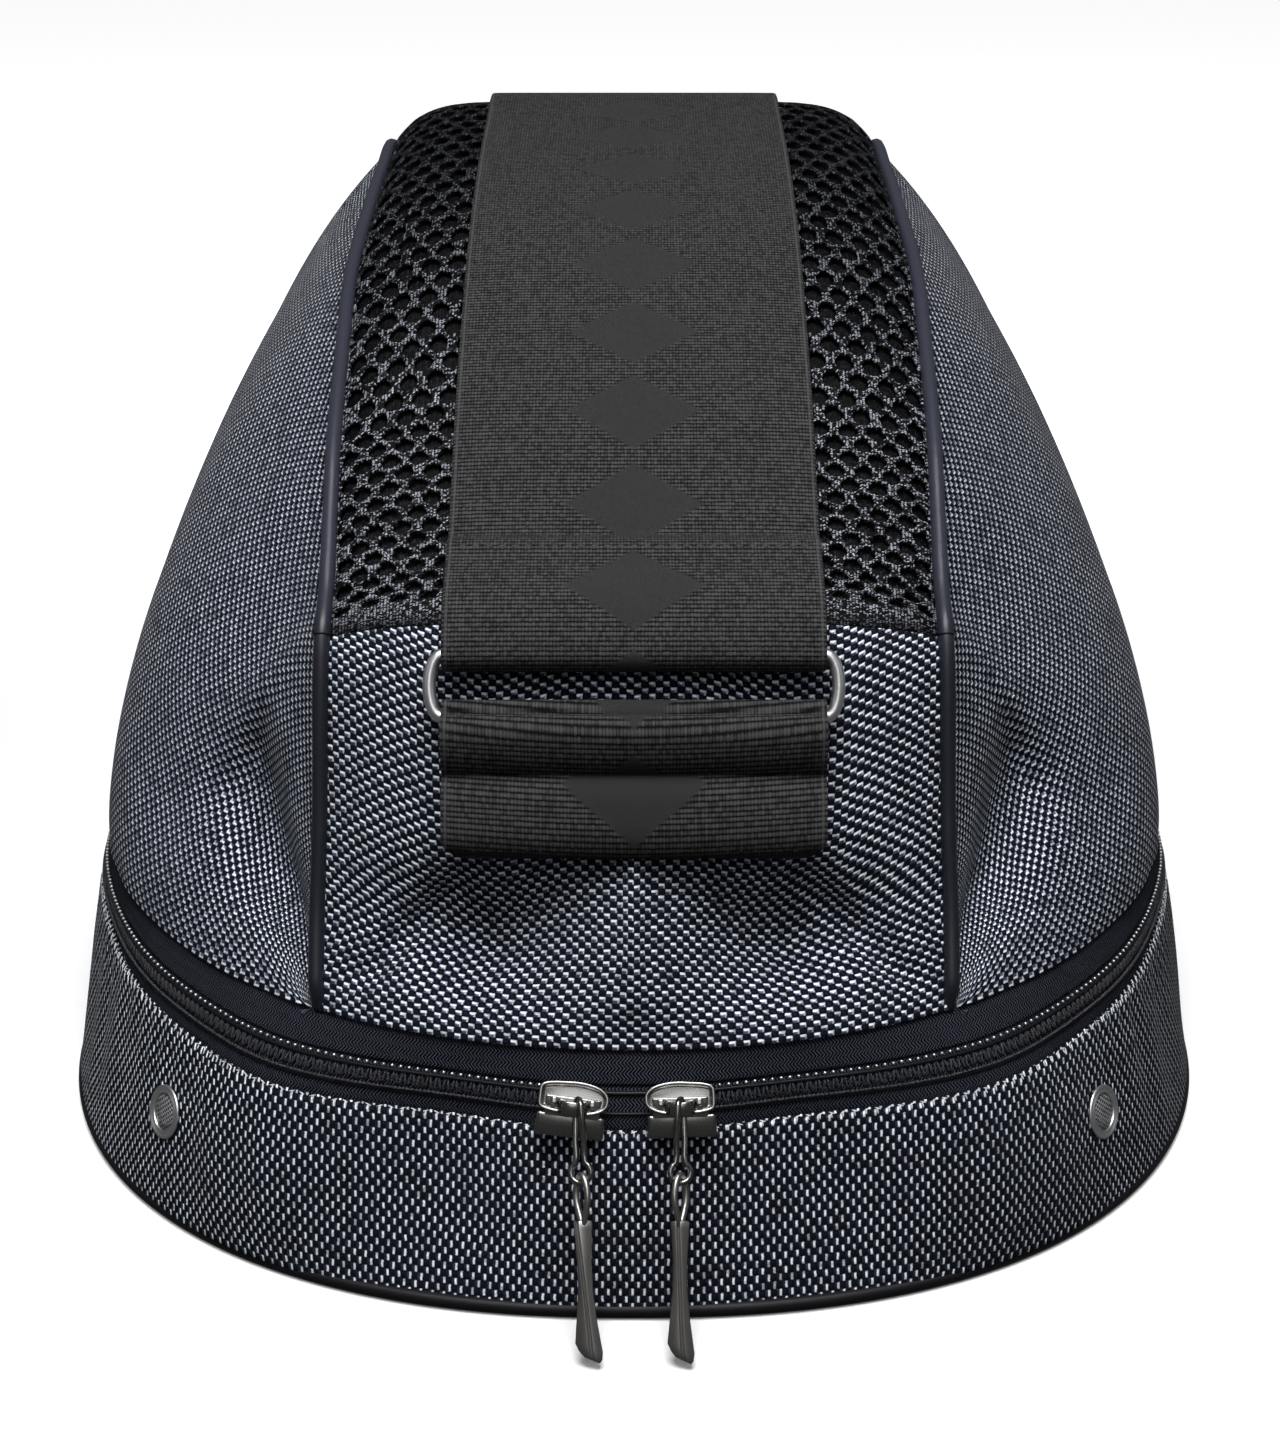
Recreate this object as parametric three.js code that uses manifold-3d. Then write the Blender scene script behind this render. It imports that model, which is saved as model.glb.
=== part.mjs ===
import * as THREE from "three";
import Module from "manifold-3d";
import { mergeVertices } from "three/addons/utils/BufferGeometryUtils.js";

const wasm = await Module();
wasm.setup();

// Helmet bag: a domed lid of cloth panels zipped to a low base, with an elastic strap over the top.
// Millimetres, +Z up, front towards -Y, standing on z = 0. Built with y = 0 at the front of the base.

// Overall sizes
const LENGTH = 332;
const WIDTH = 262;
const HEIGHT = 203;
const FRONT_REACH = 136;
const FLOOR_ROUND = 2.26;
const FRONT_ROUND = 2.12;
const BACK_ROUND = 2.3;

// Low wall of the base, up to the hem of the lid
const RIM_FRONT = 48.7;
const RIM_SIDE = 58.5;
const RIM_BACK = 63;
const LEAN_FRONT = 18.9;
const LEAN_SIDE = 9.5;
const LEAN_BACK = 14;
const BAND_BULGE = 1.6;
const BAND_WAVE = 1.5;
const SWELL_FOOT = 0.03;
const SWELL_SPAN = 0.98;

// Cloth, tape and piping
const CLOTH = 2.4;
const MESH_CLOTH = 3;
const BASE_PANEL = 3;
const BASE_PIPING = 3;
const PANEL_PIPING = 3.3;
const PIPING_LIFT = 0.7;
const GAP = 0.3;

// Zip
const ZIP_WIDTH = 15.6;
const COIL_BELOW = 9.8;
const TAPE = 1.2;
const TAPE_SET_IN = 0.6;
const COIL = 3.6;

// Centre strip of the lid and its dents
const STRIP_WIDTH = 124;
const STRIP_CROWN = 11;
const HEM_FADE = 0.16;
const FRONT_DENT = 5.5;
const SIDE_DENT = 6.5;

// Side panels: the share of a line that its handles take, the span that evens out their direction,
// and how far the panels and the piping stop short of their ends
const HANDLE = 0.36;
const SIDE_BLEND = 0.09;
const CORNER_MARGIN = 0.035;
const SIDE_END = 0.004;
const PIPING_END = 0.006;

// Elastic strap, its ring and its anchor
const STRAP_WIDTH = 74.5;
const STRAP = 1.9;
const STRAP_FOLLOW = 0.5;
const STRAP_SLACK = 0.5;
const RING_LENGTH = 82;
const RING_END = 2.4;
const RING_HEIGHT = 14.5;
const RING_WIRE = 2.6;
const RING_BELOW_SEAM = 7;
const ANCHOR_LENGTH = 27;
const ANCHOR_ROLL = 2.4;
const ANCHOR_GROOVE = 0.41;
const LAP_LENGTH = 24;
const LAP_STEP = 12;
const STRAP_END = 60;
const WRAP_FROM = 205;
const WRAP_TO = -15;

// Eyelets
const EYELET_ANGLE = 47;
const EYELET_HEIGHT = 21.5;
const EYELET_FLANGE = 11.2;
const EYELET_HOLE = 7.4;
const EYELET_BARREL = 8.6;
const EYELET_EDGE = 1.1;

// Sliders and pulls
const SLIDER_LENGTH = 15;
const SLIDER_WIDTH = 10;
const SLIDER_PLATE = 1.6;
const SLIDER_SAG = 0.8;
const BRIDGE_RISE = 2.9;
const BRIDGE_THICK = 1.3;
const BRIDGE_WIDTH = 3.2;
const BRIDGE_LENGTH = 10.8;
const SLIDER_ROUND = 0.28;
const SLIDER_LEFT = -11.8;
const SLIDER_RIGHT = 8.9;
const BAIL_LENGTH = 17;
const BAIL_WIDTH = 4.6;
const BAIL_WIRE = 1.2;
const LOOP_LENGTH = 10;
const LOOP_WIDTH = 5;
const LOOP_WIRE = 1.3;
const TAB_LENGTH = 26.7;
const TAB_WIDTH = 5.8;
const TAB_THICK = 2;

// Numbers of grid steps
const ARC_STEPS = 8;
const SIDE_STEPS = 26;
const DOWN_STEPS = 10;
const BAND_STEPS = 4;
const ROW_STEPS = 2;

// Profile of the lid along its middle: shares of LENGTH, HEIGHT, STRIP_WIDTH / 2 and STRIP_CROWN.
// round is the power by which the crown falls off towards its edges. lean and hem_lean are the angles,
// in degrees, at which the side panel leaves the strip and meets the rim.
const PROFILE = [
  { back: 0.0571, up: 0.240, wide: 1.02, crown: 1.20, round: 5, lean: 62, hem_lean: 24, swell: 1.00 },
  { back: 0.0864, up: 0.333, wide: 1.02, crown: 1.10, round: 5, lean: 62, hem_lean: 20, swell: 1.00 },
  { back: 0.1123, up: 0.428, wide: 1.01, crown: 0.95, round: 5, lean: 61, hem_lean: 15, swell: 0.98 },
  { back: 0.1576, up: 0.617, wide: 1.00, crown: 0.75, round: 5, lean: 59, hem_lean: 11, swell: 0.95 },
  { back: 0.1960, up: 0.659, wide: 1.00, crown: 0.70, round: 5, lean: 55, hem_lean: 8, swell: 0.93 },
  { back: 0.2419, up: 0.712, wide: 1.01, crown: 0.72, round: 5, lean: 51, hem_lean: 6, swell: 0.92 },
  { back: 0.2907, up: 0.770, wide: 1.02, crown: 0.76, round: 5, lean: 48, hem_lean: 4, swell: 0.91 },
  { back: 0.3725, up: 0.842, wide: 1.03, crown: 0.82, round: 5, lean: 45, hem_lean: 2, swell: 0.91 },
  { back: 0.4642, up: 0.907, wide: 1.04, crown: 0.88, round: 5, lean: 43, hem_lean: 2, swell: 0.91 },
  { back: 0.5769, up: 0.955, wide: 1.03, crown: 0.94, round: 6, lean: 42, hem_lean: 2, swell: 0.92 },
  { back: 0.6925, up: 0.984, wide: 1.03, crown: 1.00, round: 9, lean: 43, hem_lean: 3, swell: 0.93 },
  { back: 0.7813, up: 1.000, wide: 1.03, crown: 1.08, round: 9, lean: 44, hem_lean: 4, swell: 0.95 },
  { back: 0.8610, up: 0.957, wide: 1.02, crown: 1.20, round: 9, lean: 47, hem_lean: 6, swell: 0.97 },
  { back: 0.9109, up: 0.842, wide: 1.00, crown: 1.20, round: 7, lean: 51, hem_lean: 8, swell: 1.00 },
  { back: 0.9388, up: 0.644, wide: 0.98, crown: 1.20, round: 5, lean: 55, hem_lean: 10, swell: 1.00 },
  { back: 0.9527, up: 0.470, wide: 0.96, crown: 1.20, round: 5, lean: 60, hem_lean: 12, swell: 1.00 },
  { back: 0.9583, up: 0.312, wide: 0.96, crown: 1.20, round: 5, lean: 62, hem_lean: 14, swell: 1.00 },
];
const SEAM_FRONT = 3;
const SEAM_BACK = 13;

// Dents of the front panel: across as a share of half its width, up as a share of its height
const FRONT_DENTS = [
  { across: -0.48, up: 0.36, wide: 0.28, tall: 0.20, depth: 1.0 },
  { across: 0.48, up: 0.36, wide: 0.28, tall: 0.20, depth: 1.0 },
  { across: 0.0, up: 0.29, wide: 0.16, tall: 0.32, depth: -0.4 },
];

// Dents of each side panel: along from the front corner and down from the piping, as shares of the panel;
// slant is how far down the dent runs for each share along
const SIDE_DENTS = [
  { along: 0.13, down: 0.47, long: 0.10, broad: 0.17, slant: 1.1, depth: 1.0 },
  { along: 0.25, down: 0.80, long: 0.09, broad: 0.15, slant: -0.6, depth: 0.3 },
  { along: 0.86, down: 0.50, long: 0.09, broad: 0.20, slant: -1.0, depth: 0.7 },
];

// Soft waves of the band: angle from the front in degrees, spread in degrees, share of BAND_WAVE
const BAND_WAVES = [
  { angle: -15, spread: 9, depth: -1.0 },
  { angle: 13, spread: 9, depth: -1.0 },
  { angle: -34, spread: 9, depth: 0.9 },
  { angle: 34, spread: 9, depth: 0.9 },
  { angle: -70, spread: 14, depth: -0.7 },
  { angle: 70, spread: 14, depth: -0.7 },
];

const SIDE_UP = new THREE.Vector3(0, 0, 1);
const rad = THREE.MathUtils.degToRad;
const mix = THREE.MathUtils.lerp;

// Closed solids from rings of points

// A closed body through rings of points: round and round, or open with a flat cap at each end
function loft(rings, endless = false) {
  const count = rings[0].length;
  const positions = [];
  const faces = [];
  for (const ring of rings) {
    for (const point of ring) positions.push(point.x, point.y, point.z);
  }
  const last = endless ? rings.length : rings.length - 1;
  for (let i = 0; i < last; i += 1) {
    const here = i * count;
    const next = ((i + 1) % rings.length) * count;
    for (let j = 0; j < count; j += 1) {
      const k = (j + 1) % count;
      faces.push(here + j, next + j, next + k, here + j, next + k, here + k);
    }
  }
  if (!endless) {
    const end = (rings.length - 1) * count;
    for (let j = 0; j < count / 2 - 1; j += 1) {
      const a = j;
      const b = j + 1;
      const c = count - 2 - j;
      const d = count - 1 - j;
      faces.push(a, b, c, a, c, d);
      faces.push(end + a, end + c, end + b, end + a, end + d, end + c);
    }
  }
  return outward(positions, faces);
}

// The geometry of a closed body, turned so that its faces point out
function outward(positions, faces) {
  let volume = 0;
  const a = new THREE.Vector3();
  const b = new THREE.Vector3();
  const c = new THREE.Vector3();
  for (let i = 0; i < faces.length; i += 3) {
    a.fromArray(positions, faces[i] * 3);
    b.fromArray(positions, faces[i + 1] * 3);
    c.fromArray(positions, faces[i + 2] * 3);
    volume += a.dot(b.cross(c));
  }
  if (volume < 0) faces.reverse();
  const geometry = new THREE.BufferGeometry();
  geometry.setAttribute("position", new THREE.Float32BufferAttribute(positions, 3));
  geometry.setIndex(faces);
  geometry.computeVertexNormals();
  return geometry;
}

// A cloth wall from a grid of points on its outer face and the outward normals there
function wall(grid, normals, thickness) {
  return loft(grid.map((row, i) => {
    const inner = row.map((point, j) => point.clone().addScaledVector(normals[i][j], -thickness));
    return [...row, ...inner.reverse()];
  }));
}

// Outward normals of a grid of points; side is 1 or -1
function gridNormals(grid, side) {
  return grid.map((row, i) => row.map((point, j) => {
    const up = grid[Math.min(i + 1, grid.length - 1)][j].clone().sub(grid[Math.max(i - 1, 0)][j]);
    const across = row[Math.min(j + 1, row.length - 1)].clone().sub(row[Math.max(j - 1, 0)]);
    return across.cross(up).multiplyScalar(side).normalize();
  }));
}

// A round bar along points, with a fixed number of sides
function roundBar(points, diameter, sides, endless = false) {
  const count = points.length;
  return loft(points.map((point, i) => {
    const before = endless ? points[(i + count - 1) % count] : points[Math.max(i - 1, 0)];
    const after = endless ? points[(i + 1) % count] : points[Math.min(i + 1, count - 1)];
    const ahead = after.clone().sub(before).normalize();
    const flat = Math.abs(ahead.z) > 0.98 ? new THREE.Vector3(1, 0, 0) : SIDE_UP;
    const out = ahead.clone().cross(flat).normalize();
    const up = out.clone().cross(ahead).normalize();
    return Array.from({ length: sides }, (_, k) => {
      const turn = (k + 0.5) * 2 * Math.PI / sides;
      return point.clone()
        .addScaledVector(out, Math.cos(turn) * diameter / 2)
        .addScaledVector(up, Math.sin(turn) * diameter / 2);
    });
  }), endless);
}

// Booleans on closed geometries
function toSolid(geometry) {
  const bare = geometry.clone();
  bare.deleteAttribute("normal");
  bare.deleteAttribute("uv");
  const merged = mergeVertices(bare, 1e-4);
  const order = merged.index ? merged.index.array : [...Array(merged.attributes.position.count).keys()];
  const mesh = new wasm.Mesh({
    numProp: 3,
    vertProperties: new Float32Array(merged.attributes.position.array),
    triVerts: new Uint32Array(order),
  });
  return new wasm.Manifold(mesh);
}

function fromSolid(solid) {
  const mesh = solid.getMesh();
  return outward(Array.from(mesh.vertProperties), Array.from(mesh.triVerts));
}

function join(...parts) {
  return fromSolid(parts.map(toSolid).reduce((whole, part) => whole.add(part)));
}

// Wall of the base

function rimHeight(angle) {
  const level = (RIM_FRONT + RIM_BACK + 2 * RIM_SIDE) / 4;
  const tilt = (RIM_FRONT - RIM_BACK) / 2;
  const hump = (RIM_FRONT + RIM_BACK - 2 * RIM_SIDE) / 4;
  return level + tilt * Math.cos(angle) + hump * Math.cos(2 * angle);
}

// A point of the egg-shaped plan, pulled in by a share of the lean and a fixed inset
function planPoint(angle, share, inset) {
  const turn = Math.cos(angle);
  const side = Math.sin(angle);
  const front = turn > 0;
  const power = 2 / (front ? mix(FLOOR_ROUND, FRONT_ROUND, share) : BACK_ROUND);
  const reach = front ? FRONT_REACH - share * LEAN_FRONT - inset
    : LENGTH - FRONT_REACH - share * LEAN_BACK - inset;
  const half = WIDTH / 2 - share * LEAN_SIDE - inset;
  const x = half * Math.sign(side) * Math.abs(side) ** power;
  const y = FRONT_REACH - reach * Math.sign(turn) * Math.abs(turn) ** power;
  return new THREE.Vector3(x, y, 0);
}

// How far the soft band swells or waves outward
function bandSwell(angle, share) {
  const degrees = THREE.MathUtils.radToDeg(angle);
  let wave = BAND_BULGE;
  for (const row of BAND_WAVES) {
    wave += BAND_WAVE * row.depth * Math.exp(-(((degrees - row.angle) / row.spread) ** 2));
  }
  return wave * Math.sin(Math.PI * THREE.MathUtils.clamp(share, 0, 1) * SWELL_SPAN + SWELL_FOOT);
}

// The outer face of the wall: share 0 at the floor and 1 at the hem of the lid
function wallPoint(angle, share, out = 0) {
  const point = planPoint(angle, share, -out - bandSwell(angle, share));
  point.z = share * rimHeight(angle);
  return point;
}

// Height along the slope of the wall at an angle
function slope(angle) {
  return wallPoint(angle, 1).distanceTo(wallPoint(angle, 0));
}

// Share of the wall at a distance along it below the hem
function below(angle, distance) {
  return 1 - distance / slope(angle);
}

function rimAngle(x) {
  const half = WIDTH / 2 - LEAN_SIDE;
  return Math.asin((x / half) ** (FRONT_ROUND / 2));
}

function rimAngleBack(x) {
  const half = WIDTH / 2 - LEAN_SIDE;
  return Math.PI - Math.asin((x / half) ** (BACK_ROUND / 2));
}

// Angles round the wall, with one at each corner of the centre strip
const HALF_STRIP = STRIP_WIDTH / 2;
const CORNER_FRONT = rimAngle(HALF_STRIP * PROFILE[0].wide);
const CORNER_BACK = rimAngleBack(HALF_STRIP * PROFILE[PROFILE.length - 1].wide);

function roundAngles() {
  const angles = [];
  for (let i = 0; i < ARC_STEPS; i += 1) angles.push(mix(-CORNER_FRONT, CORNER_FRONT, i / ARC_STEPS));
  for (let i = 0; i < SIDE_STEPS; i += 1) angles.push(mix(CORNER_FRONT, CORNER_BACK, i / SIDE_STEPS));
  const far = 2 * Math.PI - CORNER_BACK;
  for (let i = 0; i < ARC_STEPS; i += 1) angles.push(mix(CORNER_BACK, far, i / ARC_STEPS));
  for (let i = 0; i < SIDE_STEPS; i += 1) {
    angles.push(mix(far, 2 * Math.PI - CORNER_FRONT, i / SIDE_STEPS));
  }
  return angles.map((angle) => (angle > Math.PI ? angle - 2 * Math.PI : angle));
}

// A strip of the wall between two distances below the hem, set in from its outer face
function wallLoop(fromBelow, toBelow, setIn, thickness, steps) {
  return loft(roundAngles().map((angle) => {
    const outer = [];
    const inner = [];
    for (let k = 0; k <= steps; k += 1) {
      const share = mix(toBelow(angle), fromBelow(angle), k / steps);
      outer.push(wallPoint(angle, share, -setIn));
      inner.push(wallPoint(angle, share, -setIn - thickness));
    }
    return [...outer, ...inner.reverse()];
  }), true);
}

const coilShare = (angle) => below(angle, COIL_BELOW);
const bandTop = (angle) => below(angle, ZIP_WIDTH);
const bandFoot = (angle) => (BASE_PIPING + GAP) / rimHeight(angle);

// Centre strip of the lid

const LAST = PROFILE.length - 1;
const track = (pick) => new THREE.CatmullRomCurve3(
  PROFILE.map((row, i) => new THREE.Vector3(i, pick(row), 0)), false, "catmullrom", 0.5);
const WIDE = track((row) => row.wide);
const CROWN = track((row) => row.crown);
const ROUND = track((row) => row.round);
const LEAN = track((row) => row.lean);
const HEM_LEAN = track((row) => row.hem_lean);
const SWELL = track((row) => row.swell);
const MIDDLE = new THREE.CatmullRomCurve3(PROFILE.map((row, i) => {
  if (i === 0) return wallPoint(0, 1);
  if (i === LAST) return wallPoint(Math.PI, 1);
  return new THREE.Vector3(0, row.back * LENGTH, row.up * HEIGHT);
}), false, "centripetal");

// Outward direction of the strip at a station, in the plane of symmetry
function stripOut(t) {
  const ahead = MIDDLE.getTangent(t);
  return new THREE.Vector3(0, -ahead.z, ahead.y);
}

// The strip's outward direction, evened out over a span, for the panels beside it
function sideOut(t) {
  const out = new THREE.Vector3();
  for (const share of [-1, -0.75, -0.5, -0.25, 0, 0.25, 0.5, 0.75, 1]) {
    out.add(stripOut(THREE.MathUtils.clamp(t + share * SIDE_BLEND, 0, 1)));
  }
  return out.normalize();
}

function frontDent(across, t) {
  const up = t * LAST / SEAM_FRONT;
  let depth = 0;
  for (const row of FRONT_DENTS) {
    depth += row.depth * Math.exp(-(((across - row.across) / row.wide) ** 2) - ((up - row.up) / row.tall) ** 2);
  }
  return FRONT_DENT * depth * THREE.MathUtils.smoothstep(up, 0, 0.15);
}

function crownDrop(t, across) {
  return STRIP_CROWN * CROWN.getPoint(t).y * Math.abs(across) ** ROUND.getPoint(t).y;
}

// A point of the strip: t from the front hem to the back hem, across from -1 to 1
function stripPoint(t, across, lift = 0) {
  const out = stripOut(t);
  const drop = crownDrop(t, across) + frontDent(across, t);
  const point = MIDDLE.getPoint(t).addScaledVector(out, lift - drop);
  point.x = across * HALF_STRIP * WIDE.getPoint(t).y;
  const frontPull = 1 - THREE.MathUtils.smoothstep(t, 0, HEM_FADE);
  const backPull = THREE.MathUtils.smoothstep(t, 1 - HEM_FADE, 1);
  const side = across < 0 ? -1 : 1;
  if (frontPull > 0) {
    const hem = wallPoint(side * rimAngle(Math.abs(across) * HALF_STRIP * PROFILE[0].wide), 1);
    const free = MIDDLE.getPoint(0).addScaledVector(stripOut(0), -crownDrop(0, across));
    point.y += frontPull * (hem.y - free.y);
    point.z += frontPull * (hem.z - free.z);
  }
  if (backPull > 0) {
    const hem = wallPoint(side * rimAngleBack(Math.abs(across) * HALF_STRIP * PROFILE[LAST].wide), 1);
    const free = MIDDLE.getPoint(1).addScaledVector(stripOut(1), -crownDrop(1, across));
    point.y += backPull * (hem.y - free.y);
    point.z += backPull * (hem.z - free.z);
  }
  return point;
}

// Level outward direction at the hem, so that hem and zip tape stand edge to edge
function hemOut(angle) {
  return wallPoint(angle, 1, 1).sub(wallPoint(angle, 1)).normalize();
}

// The outward normal of the strip, the same for the panels on both sides of a seam
function stripNormal(t, across) {
  const step = 0.004;
  const x = Math.abs(across) * HALF_STRIP;
  const side = across < 0 ? -1 : 1;
  if (t === 0) return hemOut(side * rimAngle(x * PROFILE[0].wide));
  if (t === 1) return hemOut(side * rimAngleBack(x * PROFILE[LAST].wide));
  const along = stripPoint(Math.min(t + step, 1), across).sub(stripPoint(Math.max(t - step, 0), across));
  const left = stripPoint(t, Math.max(across - step, -1));
  return stripPoint(t, Math.min(across + step, 1)).sub(left).cross(along).normalize();
}

const SEAM_HALF = PANEL_PIPING / 2 + GAP;

// One panel of the strip between two table rows, a seam gap narrower than the strip
function stripPanel(fromRow, toRow, thickness, trimStart, trimEnd) {
  const grid = [];
  const normals = [];
  const steps = (toRow - fromRow) * ROW_STEPS;
  for (let i = 0; i <= steps; i += 1) {
    const trim = i === 0 ? trimStart : i === steps ? -trimEnd : 0;
    const t = (mix(fromRow, toRow, i / steps) + trim) / LAST;
    const edge = 1 - SEAM_HALF / (HALF_STRIP * WIDE.getPoint(t).y);
    const places = Array.from({ length: ARC_STEPS + 1 }, (_, j) => edge * mix(-1, 1, j / ARC_STEPS));
    grid.push(places.map((across) => stripPoint(t, across)));
    normals.push(places.map((across) => stripNormal(t, across)));
  }
  return wall(grid, normals, thickness);
}

// Side panels

function sideDent(along, down) {
  let depth = 0;
  for (const row of SIDE_DENTS) {
    const far = along - row.along;
    const off = down - row.down - row.slant * far;
    depth += row.depth * Math.exp(-((far / row.long) ** 2) - (off / row.broad) ** 2);
  }
  return SIDE_DENT * depth * Math.sin(Math.PI * THREE.MathUtils.clamp(down, 0, 1));
}

// The angle round the rim that a share of a side panel's length meets
function sideAngle(along, side) {
  return side * mix(CORNER_FRONT + CORNER_MARGIN, CORNER_BACK - CORNER_MARGIN, along);
}

// A line of a side panel from the piping down to the hem, as a smooth curve
function sideLine(along, side) {
  const t = mix(SIDE_END, 1 - SIDE_END, along);
  const angle = sideAngle(along, side);
  const out = sideOut(t);
  const lean = rad(LEAN.getPoint(t).y);
  const leave = new THREE.Vector3(side * Math.cos(lean), 0, 0).addScaledVector(out, -Math.sin(lean));
  const start = stripPoint(t, side).addScaledVector(leave, SEAM_HALF);
  const end = wallPoint(angle, 1);
  const radial = hemOut(angle);
  const hemLean = rad(HEM_LEAN.getPoint(t).y);
  const arrive = radial.multiplyScalar(Math.sin(hemLean)).addScaledVector(SIDE_UP, -Math.cos(hemLean));
  const reach = start.distanceTo(end) * SWELL.getPoint(t).y;
  const first = start.clone().addScaledVector(leave, reach * HANDLE);
  const second = end.clone().addScaledVector(arrive, -reach * HANDLE);
  return new THREE.CubicBezierCurve3(start, first, second, end);
}

function sidePanel(side) {
  const grid = [];
  for (let i = 0; i <= SIDE_STEPS; i += 1) {
    const line = sideLine(i / SIDE_STEPS, side);
    const row = [];
    for (let j = 0; j <= DOWN_STEPS; j += 1) row.push(line.getPoint(j / DOWN_STEPS));
    grid.push(row);
  }
  const normals = gridNormals(grid, side);
  grid.forEach((row, i) => row.forEach((point, j) => {
    point.addScaledVector(normals[i][j], -sideDent(i / SIDE_STEPS, j / DOWN_STEPS));
  }));
  const dented = gridNormals(grid, side);
  dented.forEach((row, i) => {
    const level = hemOut(sideAngle(i / SIDE_STEPS, side));
    if (i === 0 || i === SIDE_STEPS) row.fill(level);
    row[DOWN_STEPS] = level;
  });
  return wall(grid, dented, CLOTH);
}

function panelPiping(side) {
  const points = [];
  for (let i = 0; i <= LAST * ROW_STEPS; i += 1) {
    const t = mix(PIPING_END, 1 - PIPING_END, i / (LAST * ROW_STEPS));
    points.push(stripPoint(t, side, PIPING_LIFT));
  }
  return roundBar(points, PANEL_PIPING, 6);
}

// Base

function basePiping() {
  const points = roundAngles().map((angle) => {
    const point = planPoint(angle, 0, BASE_PIPING / 2);
    point.z = BASE_PIPING / 2;
    return point;
  });
  return roundBar(points, BASE_PIPING, 6, true);
}

function basePanel() {
  const inset = BASE_PIPING + GAP;
  const outline = roundAngles().map((angle) => {
    const point = planPoint(angle, 0, inset);
    return new THREE.Vector2(point.x, point.y);
  });
  return new THREE.ExtrudeGeometry(new THREE.Shape(outline), { depth: BASE_PANEL, bevelEnabled: false });
}

// The place and outward turn of an eyelet on the band
function eyeletFrame(side) {
  const angle = side * rad(EYELET_ANGLE);
  const share = EYELET_HEIGHT / rimHeight(angle);
  const place = wallPoint(angle, share);
  const along = wallPoint(angle + 0.02, share).sub(wallPoint(angle - 0.02, share));
  const up = wallPoint(angle, share + 0.02).sub(wallPoint(angle, share - 0.02));
  const out = along.cross(up).normalize();
  const frame = new THREE.Matrix4().makeRotationFromQuaternion(
    new THREE.Quaternion().setFromUnitVectors(new THREE.Vector3(0, 1, 0), out));
  return frame.setPosition(place);
}

function baseBand() {
  const band = wallLoop(bandTop, bandFoot, 0, CLOTH, BAND_STEPS);
  let solid = toSolid(band);
  for (const side of [-1, 1]) {
    const hole = new THREE.CylinderGeometry(
      EYELET_BARREL / 2 + GAP, EYELET_BARREL / 2 + GAP, CLOTH * 4, 16);
    solid = solid.subtract(toSolid(hole.applyMatrix4(eyeletFrame(side))));
  }
  return fromSolid(solid);
}

// A flanged ring whose barrel runs through the band
function eyeletRing(side) {
  const inner = EYELET_HOLE / 2;
  const barrel = EYELET_BARREL / 2;
  const flange = EYELET_FLANGE / 2;
  const top = GAP + EYELET_EDGE;
  const foot = -CLOTH - GAP;
  const profile = [
    [inner, foot], [barrel, foot], [barrel, GAP], [flange, GAP],
    [flange, GAP + EYELET_EDGE * 0.4], [mix(inner, flange, 0.6), top], [inner, GAP + EYELET_EDGE * 0.5],
    [inner, foot],
  ].map(([r, y]) => new THREE.Vector2(r, y));
  return new THREE.LatheGeometry(profile, 16).applyMatrix4(eyeletFrame(side));
}

function eyeletMesh(side) {
  const disc = new THREE.CylinderGeometry(EYELET_HOLE / 2 - GAP, EYELET_HOLE / 2 - GAP, 0.8, 16);
  return disc.applyMatrix4(eyeletFrame(side));
}

// Strap, anchor and ring

// A flat band swept along points in the plane of symmetry, each with its outward direction
function webbing(points, thickness, columns) {
  return loft(points.map((point, i) => {
    const before = points[Math.max(i - 1, 0)].at;
    const after = points[Math.min(i + 1, points.length - 1)].at;
    const ahead = after.clone().sub(before).normalize();
    const out = new THREE.Vector3(0, -ahead.z, ahead.y);
    const top = [];
    const foot = [];
    for (let j = 0; j <= columns; j += 1) {
      const across = mix(-1, 1, j / columns);
      const drop = point.follow * crownDrop(point.station, across * STRAP_WIDTH / STRIP_WIDTH);
      const middle = point.at.clone().addScaledVector(out, -drop);
      middle.x = across * STRAP_WIDTH / 2;
      top.push(middle.clone().addScaledVector(out, thickness / 2));
      foot.push(middle.clone().addScaledVector(out, -thickness / 2));
    }
    return [...top, ...foot.reverse()];
  }));
}

// A point of a webbing's path over the strip
function lay(distance, lift, follow) {
  const station = MIDDLE.getUtoTmapping(distance / stripLength);
  return { at: stripPoint(station, 0, lift), station, follow };
}

// Distances along the middle of the strip, from the front hem
const MARKS = 20;
const seamAt = MIDDLE.getLengths(LAST * MARKS)[SEAM_FRONT * MARKS];
const stripLength = MIDDLE.getLength();

// A point over the middle of the strip at a distance from the front hem
function overStrip(distance, lift) {
  return stripPoint(MIDDLE.getUtoTmapping(distance / stripLength), 0, lift);
}

// The ring's two bars lie one strap's lap clear of the panel, a little below the front seam
const BAR_SPACING = RING_HEIGHT - RING_WIRE;
const LAY = GAP + STRAP_SLACK + STRAP / 2;
const BAR_LIFT = LAY + STRAP / 2 + GAP + RING_WIRE / 2;
const WRAP = RING_WIRE / 2 + GAP + STRAP / 2;
const topBarAt = seamAt - RING_BELOW_SEAM;
const footBarAt = topBarAt - BAR_SPACING;
const topBar = overStrip(topBarAt, BAR_LIFT);
const footBar = overStrip(footBarAt, BAR_LIFT);
const ringDown = footBar.clone().sub(topBar).normalize();
const ringOut = new THREE.Vector3(0, ringDown.z, -ringDown.y);

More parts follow.
